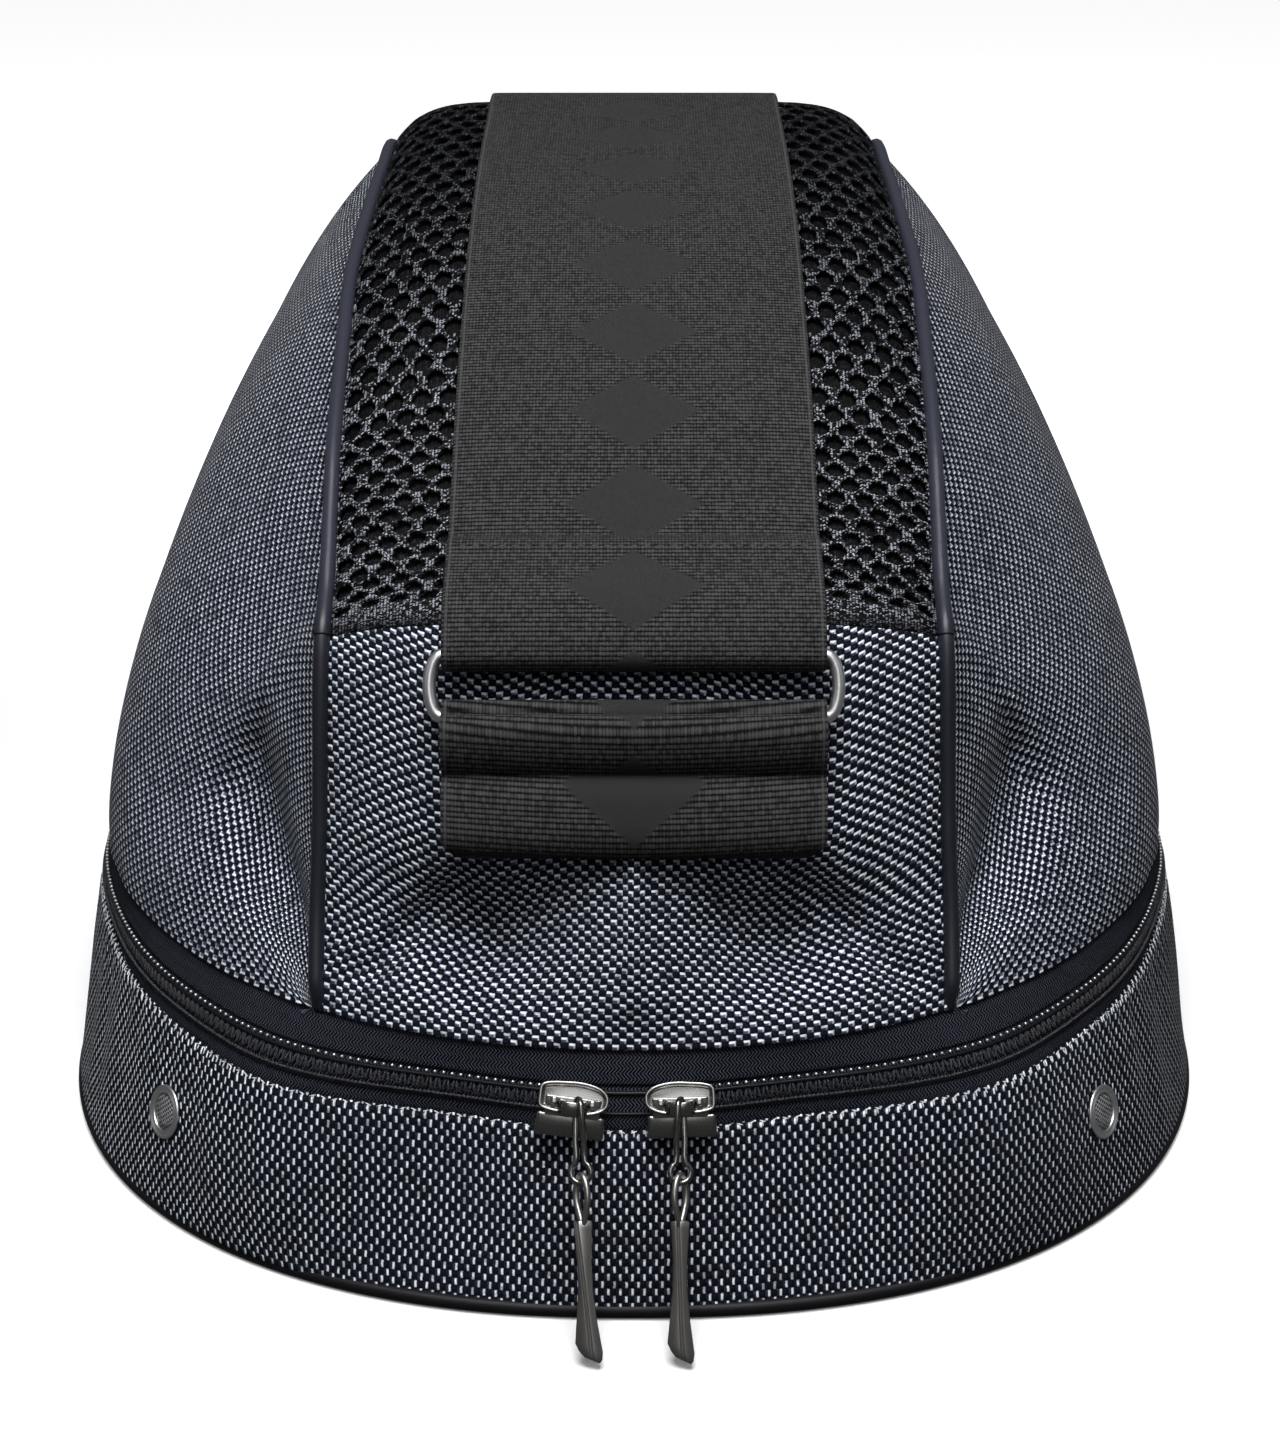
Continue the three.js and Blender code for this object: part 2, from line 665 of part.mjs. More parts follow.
// Points round a bar, from one direction to another, at the middle of a strap that wraps it
function wrap(centre, from, to, steps) {
  const points = [];
  for (let i = 0; i <= steps; i += 1) {
    const turn = rad(mix(from, to, i / steps));
    points.push({
      at: centre.clone()
        .addScaledVector(ringOut, WRAP * Math.cos(turn))
        .addScaledVector(ringDown, WRAP * Math.sin(turn)),
      station: 0,
      follow: 0,
    });
  }
  return points;
}

// The strap: its sewn lap under itself, round the top bar, then over the lid to its end at the back
function strap() {
  const points = [];
  for (const share of [1, 0.7, 0.4]) {
    points.push(lay(topBarAt + LAP_LENGTH * share, LAY, STRAP_FOLLOW));
  }
  points.push(...wrap(topBar, WRAP_FROM, WRAP_TO, 9));
  const steps = 28;
  const end = stripLength - STRAP_END;
  for (let i = 1; i <= steps; i += 1) {
    const far = (end - topBarAt) * (i / steps) ** 1.15;
    const overBar = BAR_LIFT + WRAP - LAY;
    const overLap = STRAP + GAP;
    const down = THREE.MathUtils.smoothstep(far, 0, LAP_LENGTH * 0.8);
    const off = THREE.MathUtils.smoothstep(far, LAP_LENGTH, LAP_LENGTH + LAP_STEP);
    const lift = mix(mix(overBar, overLap, down), 0, off);
    points.push(lay(topBarAt + far, LAY + lift, STRAP_FOLLOW * off));
  }
  return webbing(points, STRAP, 4);
}

// Lift of the anchor's upper layer, in a short and a long roll with a groove between them
function anchorTop(share) {
  const upper = share < ANCHOR_GROOVE;
  const lobe = upper ? share / ANCHOR_GROOVE : (share - ANCHOR_GROOVE) / (1 - ANCHOR_GROOVE);
  const settled = THREE.MathUtils.smoothstep(share, 0, ANCHOR_GROOVE);
  const settle = mix(BAR_LIFT + WRAP, LAY + STRAP + GAP, settled);
  return settle + ANCHOR_ROLL * Math.sin(Math.PI * Math.min(lobe, 1)) ** 0.5;
}

// The anchor: sewn down behind, round the foot bar and down again in front in two soft rolls
function strapAnchor() {
  const points = [];
  for (const share of [1, 0.75, 0.5, 0.25]) {
    points.push(lay(footBarAt - ANCHOR_LENGTH * share, LAY, 0));
  }
  points.push(...wrap(footBar, 180, 360, 7));
  const steps = 10;
  for (let i = 1; i <= steps; i += 1) {
    const share = i / steps;
    points.push(lay(footBarAt - ANCHOR_LENGTH * share, anchorTop(share), 0));
  }
  return webbing(points, STRAP, 4);
}

function strapRing() {
  const half = RING_LENGTH / 2 - RING_WIRE / 2 - RING_END;
  const middle = topBar.clone().add(footBar).multiplyScalar(0.5);
  const points = [];
  for (const side of [1, -1]) {
    for (let i = 0; i <= 8; i += 1) {
      const turn = rad(-90 + 180 * i / 8);
      const point = middle.clone().addScaledVector(ringDown, side * BAR_SPACING / 2 * Math.sin(turn));
      point.x = side * (half + RING_END * Math.cos(turn));
      points.push(point);
    }
  }
  return roundBar(points, RING_WIRE, 8, true);
}

// Sliders and pulls, in a frame with x along the zip, z up the wall and -y outward

const zipPlace = wallPoint(0, coilShare(0));
const wallLean = Math.atan2(wallPoint(0, 1).y - wallPoint(0, 0).y, rimHeight(0));
const PLATE_OUT = COIL / 2 + GAP;
const PIVOT_OUT = PLATE_OUT + SLIDER_PLATE + BRIDGE_RISE + BRIDGE_THICK / 2;
const BAIL_TOP = BRIDGE_WIDTH / 2 + GAP + BAIL_WIRE / 2;
const BAIL_FOOT = BAIL_TOP - BAIL_LENGTH + BAIL_WIRE;
const LOOP_TOP = BAIL_FOOT + BAIL_WIRE / 2 + GAP + LOOP_WIRE / 2;
const BLADE_TOP = LOOP_TOP - LOOP_LENGTH + LOOP_WIRE;

function slab(width, height, thickness) {
  const round = Math.min(width, height) * SLIDER_ROUND;
  const shape = new THREE.Shape();
  shape.absarc(width / 2 - round, height / 2 - round, round, 0, Math.PI / 2);
  shape.absarc(-width / 2 + round, height / 2 - round, round, Math.PI / 2, Math.PI);
  shape.absarc(-width / 2 + round, -height / 2 + round, round, Math.PI, Math.PI * 1.5);
  shape.absarc(width / 2 - round, -height / 2 + round, round, Math.PI * 1.5, Math.PI * 2);
  const body = new THREE.ExtrudeGeometry(shape, {
    depth: thickness, bevelEnabled: false, curveSegments: 3,
  });
  return body.rotateX(Math.PI / 2);
}

function slider() {
  const plate = slab(SLIDER_LENGTH, SLIDER_WIDTH, SLIDER_PLATE).translate(0, -PLATE_OUT, 0);
  const half = BRIDGE_LENGTH / 2;
  const rise = BRIDGE_RISE;
  const inner = BRIDGE_THICK;
  const shape = new THREE.Shape();
  shape.moveTo(-half, -SLIDER_PLATE / 2);
  shape.lineTo(-half, rise * 0.6);
  shape.lineTo(-half * 0.6, rise + BRIDGE_THICK);
  shape.lineTo(half * 0.6, rise + BRIDGE_THICK);
  shape.lineTo(half, rise * 0.6);
  shape.lineTo(half, -SLIDER_PLATE / 2);
  shape.lineTo(half - inner, -SLIDER_PLATE / 2);
  shape.lineTo(half - inner, rise * 0.5);
  shape.lineTo(half * 0.6 - inner * 0.4, rise);
  shape.lineTo(-half * 0.6 + inner * 0.4, rise);
  shape.lineTo(-half + inner, rise * 0.5);
  shape.lineTo(-half + inner, -SLIDER_PLATE / 2);
  const bridge = new THREE.ExtrudeGeometry(shape, { depth: BRIDGE_WIDTH, bevelEnabled: false });
  bridge.translate(0, 0, -BRIDGE_WIDTH / 2).rotateX(Math.PI);
  bridge.translate(0, -PLATE_OUT - SLIDER_PLATE, 0);
  return join(plate, bridge);
}

// A long closed link of wire between two heights, seen flat along x or along y
function link(top, foot, width, wire, flat) {
  const radius = (width - wire) / 2;
  const points = [];
  for (const [end, side] of [[top - radius, 1], [foot + radius, -1]]) {
    for (let i = 0; i <= 5; i += 1) {
      const turn = Math.PI * i / 5;
      const off = side * radius * Math.cos(turn);
      const z = end + side * radius * Math.sin(turn);
      points.push(new THREE.Vector3(flat ? off : 0, flat ? 0 : off, z));
    }
  }
  return roundBar(points, wire, 6, true);
}

// The bail hangs on the slider's bridge
function bail() {
  return link(BAIL_TOP, BAIL_FOOT, BAIL_WIDTH, BAIL_WIRE, false);
}

// The loop and blade of a pull, one casting
function tab() {
  const loop = link(LOOP_TOP, BLADE_TOP, LOOP_WIDTH, LOOP_WIRE, true);
  const rows = [
    { down: 0.0, wide: 0.55, thick: 0.8 },
    { down: 0.25, wide: 0.52, thick: 1.0 },
    { down: 0.6, wide: 0.68, thick: 0.9 },
    { down: 0.9, wide: 1.0, thick: 0.8 },
    { down: 1.0, wide: 0.86, thick: 0.5 },
  ];
  const blade = loft(rows.map((row) => {
    const half = row.wide * TAB_WIDTH / 2;
    const thick = row.thick * TAB_THICK / 2;
    const z = BLADE_TOP - row.down * TAB_LENGTH;
    return [
      [-half, -thick * 0.3], [0, -thick], [half, -thick * 0.3],
      [half, thick * 0.3], [0, thick], [-half, thick * 0.3],
    ].map(([x, y]) => new THREE.Vector3(x, y, z));
  }));
  return join(loop, blade);
}

// Scene graph

const bag = new THREE.Group();
const finishes = {
  nylon: { color: 0x2b2d3a, roughness: 0.6, metalness: 0 },
  spacer_mesh: { color: 0x14151a, roughness: 0.8, metalness: 0 },
  elastic: { color: 0x1d1d1f, roughness: 0.85, metalness: 0 },
  piping: { color: 0x23242e, roughness: 0.4, metalness: 0 },
  zip_tape: { color: 0x121318, roughness: 0.8, metalness: 0 },
  zip_coil: { color: 0x17181d, roughness: 0.4, metalness: 0 },
  gunmetal: { color: 0x55565a, roughness: 0.25, metalness: 1 },
  nickel: { color: 0xb9bbbe, roughness: 0.2, metalness: 1 },
};

function add(parent, name, geometry, finish) {
  const mesh = new THREE.Mesh(geometry, new THREE.MeshStandardMaterial(finishes[finish]));
  mesh.name = name;
  parent.add(mesh);
  return mesh;
}

const base = new THREE.Group();
bag.add(base);
add(base, "base_panel", basePanel(), "nylon");
add(base, "base_piping", basePiping(), "piping");
add(base, "base_band", baseBand(), "nylon");

const lid = new THREE.Group();
bag.add(lid);
const SEAM_TRIM = GAP / 2 / (MIDDLE.getLength() / LAST);
add(lid, "front_panel", stripPanel(0, SEAM_FRONT, CLOTH, 0, SEAM_TRIM), "nylon");
add(lid, "top_mesh_panel", stripPanel(SEAM_FRONT, SEAM_BACK, MESH_CLOTH, SEAM_TRIM, SEAM_TRIM), "spacer_mesh");
add(lid, "back_panel", stripPanel(SEAM_BACK, LAST, CLOTH, SEAM_TRIM, 0), "nylon");

const zip = new THREE.Group();
bag.add(zip);
const upperEdge = (angle) => below(angle, GAP);
const upperFoot = (angle) => below(angle, COIL_BELOW - COIL / 2 - GAP);
const lowerEdge = (angle) => below(angle, COIL_BELOW + COIL / 2 + GAP);
const lowerFoot = (angle) => below(angle, ZIP_WIDTH - GAP);
add(zip, "zip_tape_upper", wallLoop(upperEdge, upperFoot, TAPE_SET_IN, TAPE, 1), "zip_tape");
add(zip, "zip_tape_lower", wallLoop(lowerEdge, lowerFoot, TAPE_SET_IN, TAPE, 1), "zip_tape");
const coilLine = roundAngles().map((angle) => wallPoint(angle, coilShare(angle), -TAPE_SET_IN));
add(zip, "zip_coil", roundBar(coilLine, COIL, 6, true), "zip_coil");

for (const [word, side] of [["left", -1], ["right", 1]]) {
  add(lid, `side_panel_${word}`, sidePanel(side), "nylon");
  add(lid, `panel_piping_${word}`, panelPiping(side), "piping");
  add(base, `eyelet_ring_${word}`, eyeletRing(side), "nickel");
  add(base, `eyelet_mesh_${word}`, eyeletMesh(side), "gunmetal");
}

add(lid, "strap", strap(), "elastic");
add(lid, "strap_anchor", strapAnchor(), "elastic");
add(lid, "strap_ring", strapRing(), "nickel");

// A pull hangs from its bridge and leans out until its tip stands on the floor
for (const [word, x] of [["left", SLIDER_LEFT], ["right", SLIDER_RIGHT]]) {
  const frame = new THREE.Group();
  frame.position.set(x, zipPlace.y, zipPlace.z - SLIDER_SAG);
  frame.rotation.x = -wallLean;
  zip.add(frame);
  add(frame, `slider_${word}`, slider(), "gunmetal");
  const pull = new THREE.Group();
  pull.position.set(0, -PIVOT_OUT, 0).applyEuler(frame.rotation).add(frame.position);
  const drop = (pull.position.z - TAB_THICK / 2) / (TAB_LENGTH - BLADE_TOP);
  pull.rotation.x = -Math.max(Math.acos(Math.min(drop, 1)), wallLean);
  zip.add(pull);
  add(pull, `pull_bail_${word}`, bail(), "gunmetal");
  add(pull, `pull_tab_${word}`, tab(), "gunmetal");
}

// The origin is the middle of the whole bag's footprint
bag.updateMatrixWorld(true);
const whole = new THREE.Box3().setFromObject(bag, true);
bag.position.y = -(whole.min.y + whole.max.y) / 2;
bag.position.z = -whole.min.z;

export default bag;
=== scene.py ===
import math
import random

import bmesh
import bpy
from mathutils import Matrix, Vector


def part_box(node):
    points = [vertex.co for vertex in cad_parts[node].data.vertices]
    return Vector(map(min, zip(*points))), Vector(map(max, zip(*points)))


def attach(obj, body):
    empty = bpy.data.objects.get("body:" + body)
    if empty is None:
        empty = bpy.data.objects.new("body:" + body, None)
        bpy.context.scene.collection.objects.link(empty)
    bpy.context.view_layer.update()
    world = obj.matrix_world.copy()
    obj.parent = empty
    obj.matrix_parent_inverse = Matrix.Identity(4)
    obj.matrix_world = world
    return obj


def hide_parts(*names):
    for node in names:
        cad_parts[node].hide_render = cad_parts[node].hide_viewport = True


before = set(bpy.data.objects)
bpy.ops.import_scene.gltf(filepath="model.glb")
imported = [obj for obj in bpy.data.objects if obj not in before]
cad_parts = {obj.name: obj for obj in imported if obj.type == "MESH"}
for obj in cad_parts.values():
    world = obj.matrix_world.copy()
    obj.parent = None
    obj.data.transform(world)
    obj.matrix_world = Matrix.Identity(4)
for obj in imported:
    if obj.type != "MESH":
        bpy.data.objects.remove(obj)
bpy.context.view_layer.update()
front_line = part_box("base_panel")[0].y - 0.0033
random.seed(7)


# Studio: a pale seamless floor, a broad soft light overhead, a weaker one in front and a faint one
# on each side. The floor throws no light on the bag, as in a picture that is cut out on white.
# The camera stands low in front of the bag and looks down on it by twenty degrees.
class Wire:
    """A value in a material's node tree. Arithmetic on it adds Math nodes."""

    def __init__(self, tree, socket=None):
        self.tree = tree
        self.socket = socket

    def node(self, kind, settings=None, sockets=None, output=0):
        """Adds a node, puts its settings on first and then the values or links of its sockets."""
        made = self.tree.nodes.new("ShaderNode" + kind)
        for name, value in (settings or {}).items():
            if name == "stops":
                while len(made.color_ramp.elements) < len(value):
                    made.color_ramp.elements.new(0.5)
                for stop, (place, shade) in zip(made.color_ramp.elements, value):
                    stop.position = place
                    stop.color = (*shade, 1.0)
            else:
                setattr(made, name, value)
        for name, value in (sockets or {}).items():
            if isinstance(value, Wire):
                self.tree.links.new(value.socket, made.inputs[name])
            else:
                made.inputs[name].default_value = value
        return Wire(self.tree, made.outputs[output])

    def math(self, operation, *others):
        values = dict(enumerate((self, *others)))
        return self.node("Math", {"operation": operation}, values)

    def __add__(self, other):
        return self.math("ADD", other)

    __radd__ = __add__

    def __mul__(self, other):
        return self.math("MULTIPLY", other)

    __rmul__ = __mul__

    def __sub__(self, other):
        return self.math("SUBTRACT", other)

    def __rsub__(self, other):
        return self.node("Math", {"operation": "SUBTRACT"}, {0: other, 1: self})

    def __truediv__(self, other):
        return self.math("DIVIDE", other)

    def __pow__(self, other):
        return self.math("POWER", other)

    def step(self, low, high):
        """Rises smoothly from 0 at low to 1 at high."""
        settings = {"interpolation_type": "SMOOTHSTEP"}
        return self.node("MapRange", settings, {"Value": self, "From Min": low, "From Max": high})

    def between(self, low, high):
        """This value as a factor between two numbers or two values."""
        return self.node("Mix", {}, {0: self, 2: low, 3: high})

    def shade(self, dark, light):
        """This value as a factor between two colours."""
        colours = [c if isinstance(c, Wire) else (*c, 1.0) for c in (dark, light)]
        return self.node("Mix", {"data_type": "RGBA"}, {0: self, 6: colours[0], 7: colours[1]}, 2)

    def split(self):
        return [self.node("SeparateXYZ", {}, {0: self}, i) for i in range(3)]

    def mound(self, power):
        """1 in the middle of a cell and 0 at both of its edges, for a value from 0 to 1."""
        return 1 - (self * 2 - 1).math("ABSOLUTE") ** power

    def noise(self, scale, detail):
        return self.node("TexNoise", {}, {"Scale": scale, "Detail": detail})

    def chance(self, column, row):
        """A random value for each cell of a grid."""
        cell = self.node("CombineXYZ", {}, {0: column, 1: row})
        return self.node("TexWhiteNoise", {"noise_dimensions": "2D"}, {"Vector": cell})

    def cloth_place(self):
        """Metres across and along a piece of cloth, from its UV map."""
        return self.node("UVMap", {"uv_map": "cloth"}).split()[:2]

    def bump(self, height, strength, distance):
        return self.node("Bump", {}, {"Strength": strength, "Distance": distance, "Height": height})


def finish_of(name, recipe):
    """A material whose surface sockets come from a recipe: a function of an empty wire."""
    made = bpy.data.materials.new(name)
    made.use_nodes = True
    surface = made.node_tree.nodes["Principled BSDF"]
    for socket, value in recipe(Wire(made.node_tree)).items():
        if isinstance(value, Wire):
            made.node_tree.links.new(value.socket, surface.inputs[socket])
        else:
            surface.inputs[socket].default_value = value
    return made


def pale_paper(wire):
    """Plain pale paper that glows more far behind the bag, painted light that fades it to white."""
    grain = wire.noise(3.0, 2.0)
    side, back, _ = wire.node("TexCoord", {}, {}, 3).split()
    away = back.step(0.12, 0.75) * (side.math("ABSOLUTE") / (back + 0.7)).step(0.42, 0.3)
    return {
        "Base Color": grain.shade((0.86, 0.86, 0.87), (0.9, 0.9, 0.91)),
        "Roughness": 0.9,
        "Specular IOR Level": 0.1,
        # Painted light: the floor glows, faintly near the bag and strongly far behind it.
        "Emission Color": away.shade((0.08, 0.08, 0.08), (0.85, 0.85, 0.85)),
        "Emission Strength": 1.0,
    }


def new_piece(name, shape, finish):
    """An object from a bmesh, with its place in its mesh."""
    mesh = bpy.data.meshes.new(name)
    shape.to_mesh(mesh)
    shape.free()
    mesh.materials.append(finish)
    for face in mesh.polygons:
        face.use_smooth = True
    piece = bpy.data.objects.new(name, mesh)
    bpy.context.scene.collection.objects.link(piece)
    return piece


FLOOR_HALF = 6.0
LIGHT_AIM = (0.0, 0.0, 0.1)
LIGHT_SIZE = 0.9
WORLD_LIGHT = 0.08
shape = bmesh.new()
bmesh.ops.create_grid(shape, x_segments=8, y_segments=8, size=FLOOR_HALF)
floor = new_piece("studio_floor", shape, finish_of("pale_paper", pale_paper))
floor.visible_glossy = False
floor.visible_diffuse = False

for name, place, power in (
    ("overhead_light", (0.0, -0.5, 1.5), 29.0),
    ("left_light", (-1.3, -0.5, 0.8), 0.5),
    ("right_light", (1.3, -0.5, 0.8), 0.5),
    ("front_light", (0.0, -1.6, 1.3), 5.0),
):
    light = bpy.data.lights.new(name, "AREA")
    light.shape = "DISK"
    light.size = LIGHT_SIZE
    light.energy = power
    lamp = bpy.data.objects.new(name, light)
    lamp.location = place
    lamp.rotation_euler = (Vector(LIGHT_AIM) - Vector(place)).to_track_quat("-Z", "Y").to_euler()
    bpy.context.scene.collection.objects.link(lamp)

bpy.context.scene.view_settings.view_transform = "Standard"
world = bpy.data.worlds.new("studio")
world.use_nodes = True
world.node_tree.nodes["Background"].inputs["Color"].default_value = (1.0, 1.0, 1.0, 1.0)
world.node_tree.nodes["Background"].inputs["Strength"].default_value = WORLD_LIGHT
bpy.context.scene.world = world

# The focus and the shifts of the camera are in pixels of a picture this tall.
PICTURE_TALL = 1445
FOCUS = 2500
SHIFT_RIGHT = 6
SHIFT_UP = 3
CAMERA_AHEAD = 0.4148
CAMERA_HIGH = 0.2736
LOOK_DOWN = 20
camera = bpy.data.cameras.new("camera")
camera.sensor_width = 36.0
camera.lens = camera.sensor_width * FOCUS / PICTURE_TALL
camera.shift_x = SHIFT_RIGHT / PICTURE_TALL
camera.shift_y = SHIFT_UP / PICTURE_TALL
camera_stand = bpy.data.objects.new("camera", camera)
camera_stand.location = (0.0, front_line - CAMERA_AHEAD, CAMERA_HIGH)
camera_stand.rotation_euler = (math.radians(90 - LOOK_DOWN), 0.0, 0.0)
bpy.context.scene.collection.objects.link(camera_stand)
bpy.context.scene.camera = camera_stand


# Bottom panel: a flat egg-shaped piece of stiffened nylon that the bag stands on.
# The plan and the leaning wall worked out here are followed by every piece above it.
LENGTH = 0.332
WIDTH = 0.262
FRONT_REACH = 0.136
FLOOR_ROUND = 2.26
FRONT_ROUND = 2.12
BACK_ROUND = 2.3
RIM_FRONT = 0.0487
RIM_SIDE = 0.0585
RIM_BACK = 0.063
LEAN_FRONT = 0.0189
LEAN_SIDE = 0.0095
LEAN_BACK = 0.014
PIPING_THICK = 0.003
PANEL_THICK = 0.003
BAND_BULGE = 0.0016
BAND_WAVE = 0.0036
BAND_WAVES = (
    {"angle": -15, "spread": 9, "depth": -1.0},
    {"angle": 13, "spread": 9, "depth": -1.0},
    {"angle": -34, "spread": 9, "depth": 0.9},
    {"angle": 34, "spread": 9, "depth": 0.9},
    {"angle": -70, "spread": 14, "depth": -0.7},
    {"angle": 70, "spread": 14, "depth": -0.7},
)
SWELL_AT_FOOT = 0.03
SWELL_SPAN = 0.98


def mix(low, high, share):
    return low + (high - low) * share


def ease(value, low, high):
    share = min(max((value - low) / (high - low), 0.0), 1.0)
    return share * share * (3 - 2 * share)


def rim_height(angle):
    level = (RIM_FRONT + RIM_BACK + 2 * RIM_SIDE) / 4
    tilt = (RIM_FRONT - RIM_BACK) / 2
    hump = (RIM_FRONT + RIM_BACK - 2 * RIM_SIDE) / 4
    return level + tilt * math.cos(angle) + hump * math.cos(2 * angle)


def plan_point(angle, share, inset):
    """A point of the plan, pulled in by a share of the wall's lean and a fixed inset."""
    turn = math.cos(angle)
    side = math.sin(angle)
    power = 2 / (mix(FLOOR_ROUND, FRONT_ROUND, share) if turn > 0 else BACK_ROUND)
    reach = FRONT_REACH - share * LEAN_FRONT
    if turn <= 0:
        reach = LENGTH - FRONT_REACH - share * LEAN_BACK
    x = (WIDTH / 2 - share * LEAN_SIDE - inset) * abs(side) ** power
    y = (reach - inset) * abs(turn) ** power
    return Vector((math.copysign(x, side), front_line + FRONT_REACH - math.copysign(y, turn), 0.0))


def band_swell(angle, share):
    """How far the band bulges out between its foot and the hem, with its soft dents."""
    degrees = math.degrees(angle)
    wave = BAND_BULGE
    for row in BAND_WAVES:
        wave += BAND_WAVE * row["depth"] * math.exp(-(((degrees - row["angle"]) / row["spread"]) ** 2))
    return wave * math.sin(math.pi * min(max(share, 0.0), 1.0) * SWELL_SPAN + SWELL_AT_FOOT)


def wall_point(angle, share, out=0.0):
    """The outer face of the wall: share 0 at the floor and 1 at the hem of the lid."""
    point = plan_point(angle, share, -out - band_swell(angle, share))
    point.z = share * rim_height(angle)
    return point


def below(angle, distance):
    """Share of the wall at a distance along it below the hem."""
    return 1 - distance / (wall_point(angle, 1) - wall_point(angle, 0)).length


YARN_ACROSS = 0.00142
YARN_DOWN = 0.00116
NAVY_YARN = (0.0018, 0.0030, 0.0105)
NAVY_GAP_SHADE = (0.0004, 0.0006, 0.0022)
GREY_YARN = (0.122, 0.141, 0.232)
DULL_YARN = (0.045, 0.053, 0.095)
# Painted shade: on the band's turned copy of the nylon the grey floats are darkened to this share.
BAND_FLOAT_SHADE = 0.3
# Colour of the painted glints: highlights painted on the grey floats.
PAINTED_GLINT_COLOUR = (0.88, 0.93, 1.0)


def nylon_weave(turned):
    """Plain weave of navy yarn one way and shiny grey yarn the other way, with pale dashes painted on the
    grey floats as highlights.
    """

    def recipe(wire):
        across, down = wire.cloth_place()
        if turned:
            across, down = down, across
        drift = wire.noise(60.0, 1.0) - 0.5
        fuzz = wire.noise(2600.0, 1.0) - 0.5
        across = across / YARN_ACROSS + drift * 0.35 + fuzz * 0.25
        down = down / YARN_DOWN + drift * 0.25 + fuzz * 0.25
        column = across.math("FLOOR")
        row = down.math("FLOOR")
        right = across - column
        up = down - row
        over = (column + row).math("FLOORED_MODULO", 2.0)
        weft = right.mound(4.0) * up.mound(4.0)
        warp = right.mound(2.2) * up.mound(4.0)
        chance = wire.chance(column, row)
        body = over * weft.step(0.08, 0.5)
        # Painted highlight: a pale dash along the top of each grey float and, on the front panel, a shorter
        # one low on its right side, stronger in random cells and patches.
        bar = up.step(0.5, 0.6) * (1 - up.step(0.9, 1.0)) * right.step(0.0, 0.1) * (1 - right.step(0.86, 1.0))
        foot = right.step(0.66, 0.76) * (1 - right.step(0.86, 1.0))
        foot = foot * up.step(0.05, 0.2) * (1 - up.step(0.5, 0.7))
        painted_dash = bar if turned else bar.math("MAXIMUM", foot * 0.7)
        patch = wire.noise(42.0, 2.0).step(0.4, 0.62)
        glint = over * painted_dash * (chance * 0.5 + patch * 0.6 + 0.45).math("MINIMUM", 1.0)
        # Painted shade: the navy yarn deepens towards its edges, in the gaps between yarns.
        ground = warp.shade(NAVY_GAP_SHADE, NAVY_YARN)
        grey = body * (BAND_FLOAT_SHADE if turned else 1.0)
        colour = glint.shade(grey.shade(ground, chance.shade(DULL_YARN, GREY_YARN)), PAINTED_GLINT_COLOUR)
        return {
            "Base Color": colour,
            "Metallic": body * (1 - glint) * 0.75,
            "Roughness": over.between(0.6, 0.36),
            "Specular IOR Level": 0.12,
            "Normal": wire.bump(over.between(warp * 0.8, weft), 0.7, 0.00035),
        }

    return recipe


nylon = finish_of("navy_nylon", nylon_weave(False))
# The band's turned copy has its grey floats darkened as painted shade and only upright painted glints.
nylon_turned = finish_of("navy_nylon_turned", nylon_weave(True))


def hand_over(piece, node):
    """The piece moves with the bag and stands for a node, if it has one."""
    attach(piece, "root")
    if node:
        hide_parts(node)
    return piece


def points_of(geometry):
    return [part for part in geometry if isinstance(part, bmesh.types.BMVert)]


def map_flat(shape):
    """A UV map in real lengths for cloth that still lies flat."""
    cloth = shape.loops.layers.uv.new("cloth")
    for face in shape.faces:
        for loop in face.loops:
            loop[cloth].uv = loop.vert.co.xy


OUTLINE_STEPS = 180
shape = bmesh.new()
bmesh.ops.create_circle(shape, cap_ends=True, segments=OUTLINE_STEPS, radius=1.0)
for vertex in shape.verts:
    around = math.atan2(vertex.co.x, -vertex.co.y)
    vertex.co = plan_point(around, 0, PIPING_THICK * 0.6)
walls = bmesh.ops.extrude_face_region(shape, geom=shape.faces[:])["geom"]
bmesh.ops.translate(shape, verts=points_of(walls), vec=(0, 0, PANEL_THICK))
bmesh.ops.recalc_face_normals(shape, faces=shape.faces[:])
map_flat(shape)
base_panel = hand_over(new_piece("bottom_panel", shape, nylon), "base_panel")


# Base piping: a round black binding stitched round the edge of the bottom panel.
# It is what the bag stands on and closes the seam between the panel and the band.
def tube(name, points, thick, finish, closed=False, sides=12):
    """A round bar along points."""
    curve = bpy.data.curves.new(name, "CURVE")
    curve.dimensions = "3D"
    curve.bevel_depth = thick / 2
    curve.bevel_resolution = max(sides // 4 - 1, 0)
    curve.use_fill_caps = True
    spline = curve.splines.new("POLY")
    spline.points.add(len(points) - 1)
    for knot, point in zip(spline.points, points):
        knot.co = (*point, 1.0)
    spline.use_cyclic_u = closed
    holder = bpy.data.objects.new(name, curve)
    bpy.context.scene.collection.objects.link(holder)
    bpy.context.view_layer.update()
    mesh = bpy.data.meshes.new_from_object(holder)
    bpy.data.objects.remove(holder)
    shape = bmesh.new()
    shape.from_mesh(mesh)
    bpy.data.meshes.remove(mesh)
    bmesh.ops.remove_doubles(shape, verts=shape.verts[:], dist=1e-6)
    bmesh.ops.recalc_face_normals(shape, faces=shape.faces[:])
    return new_piece(name, shape, finish)


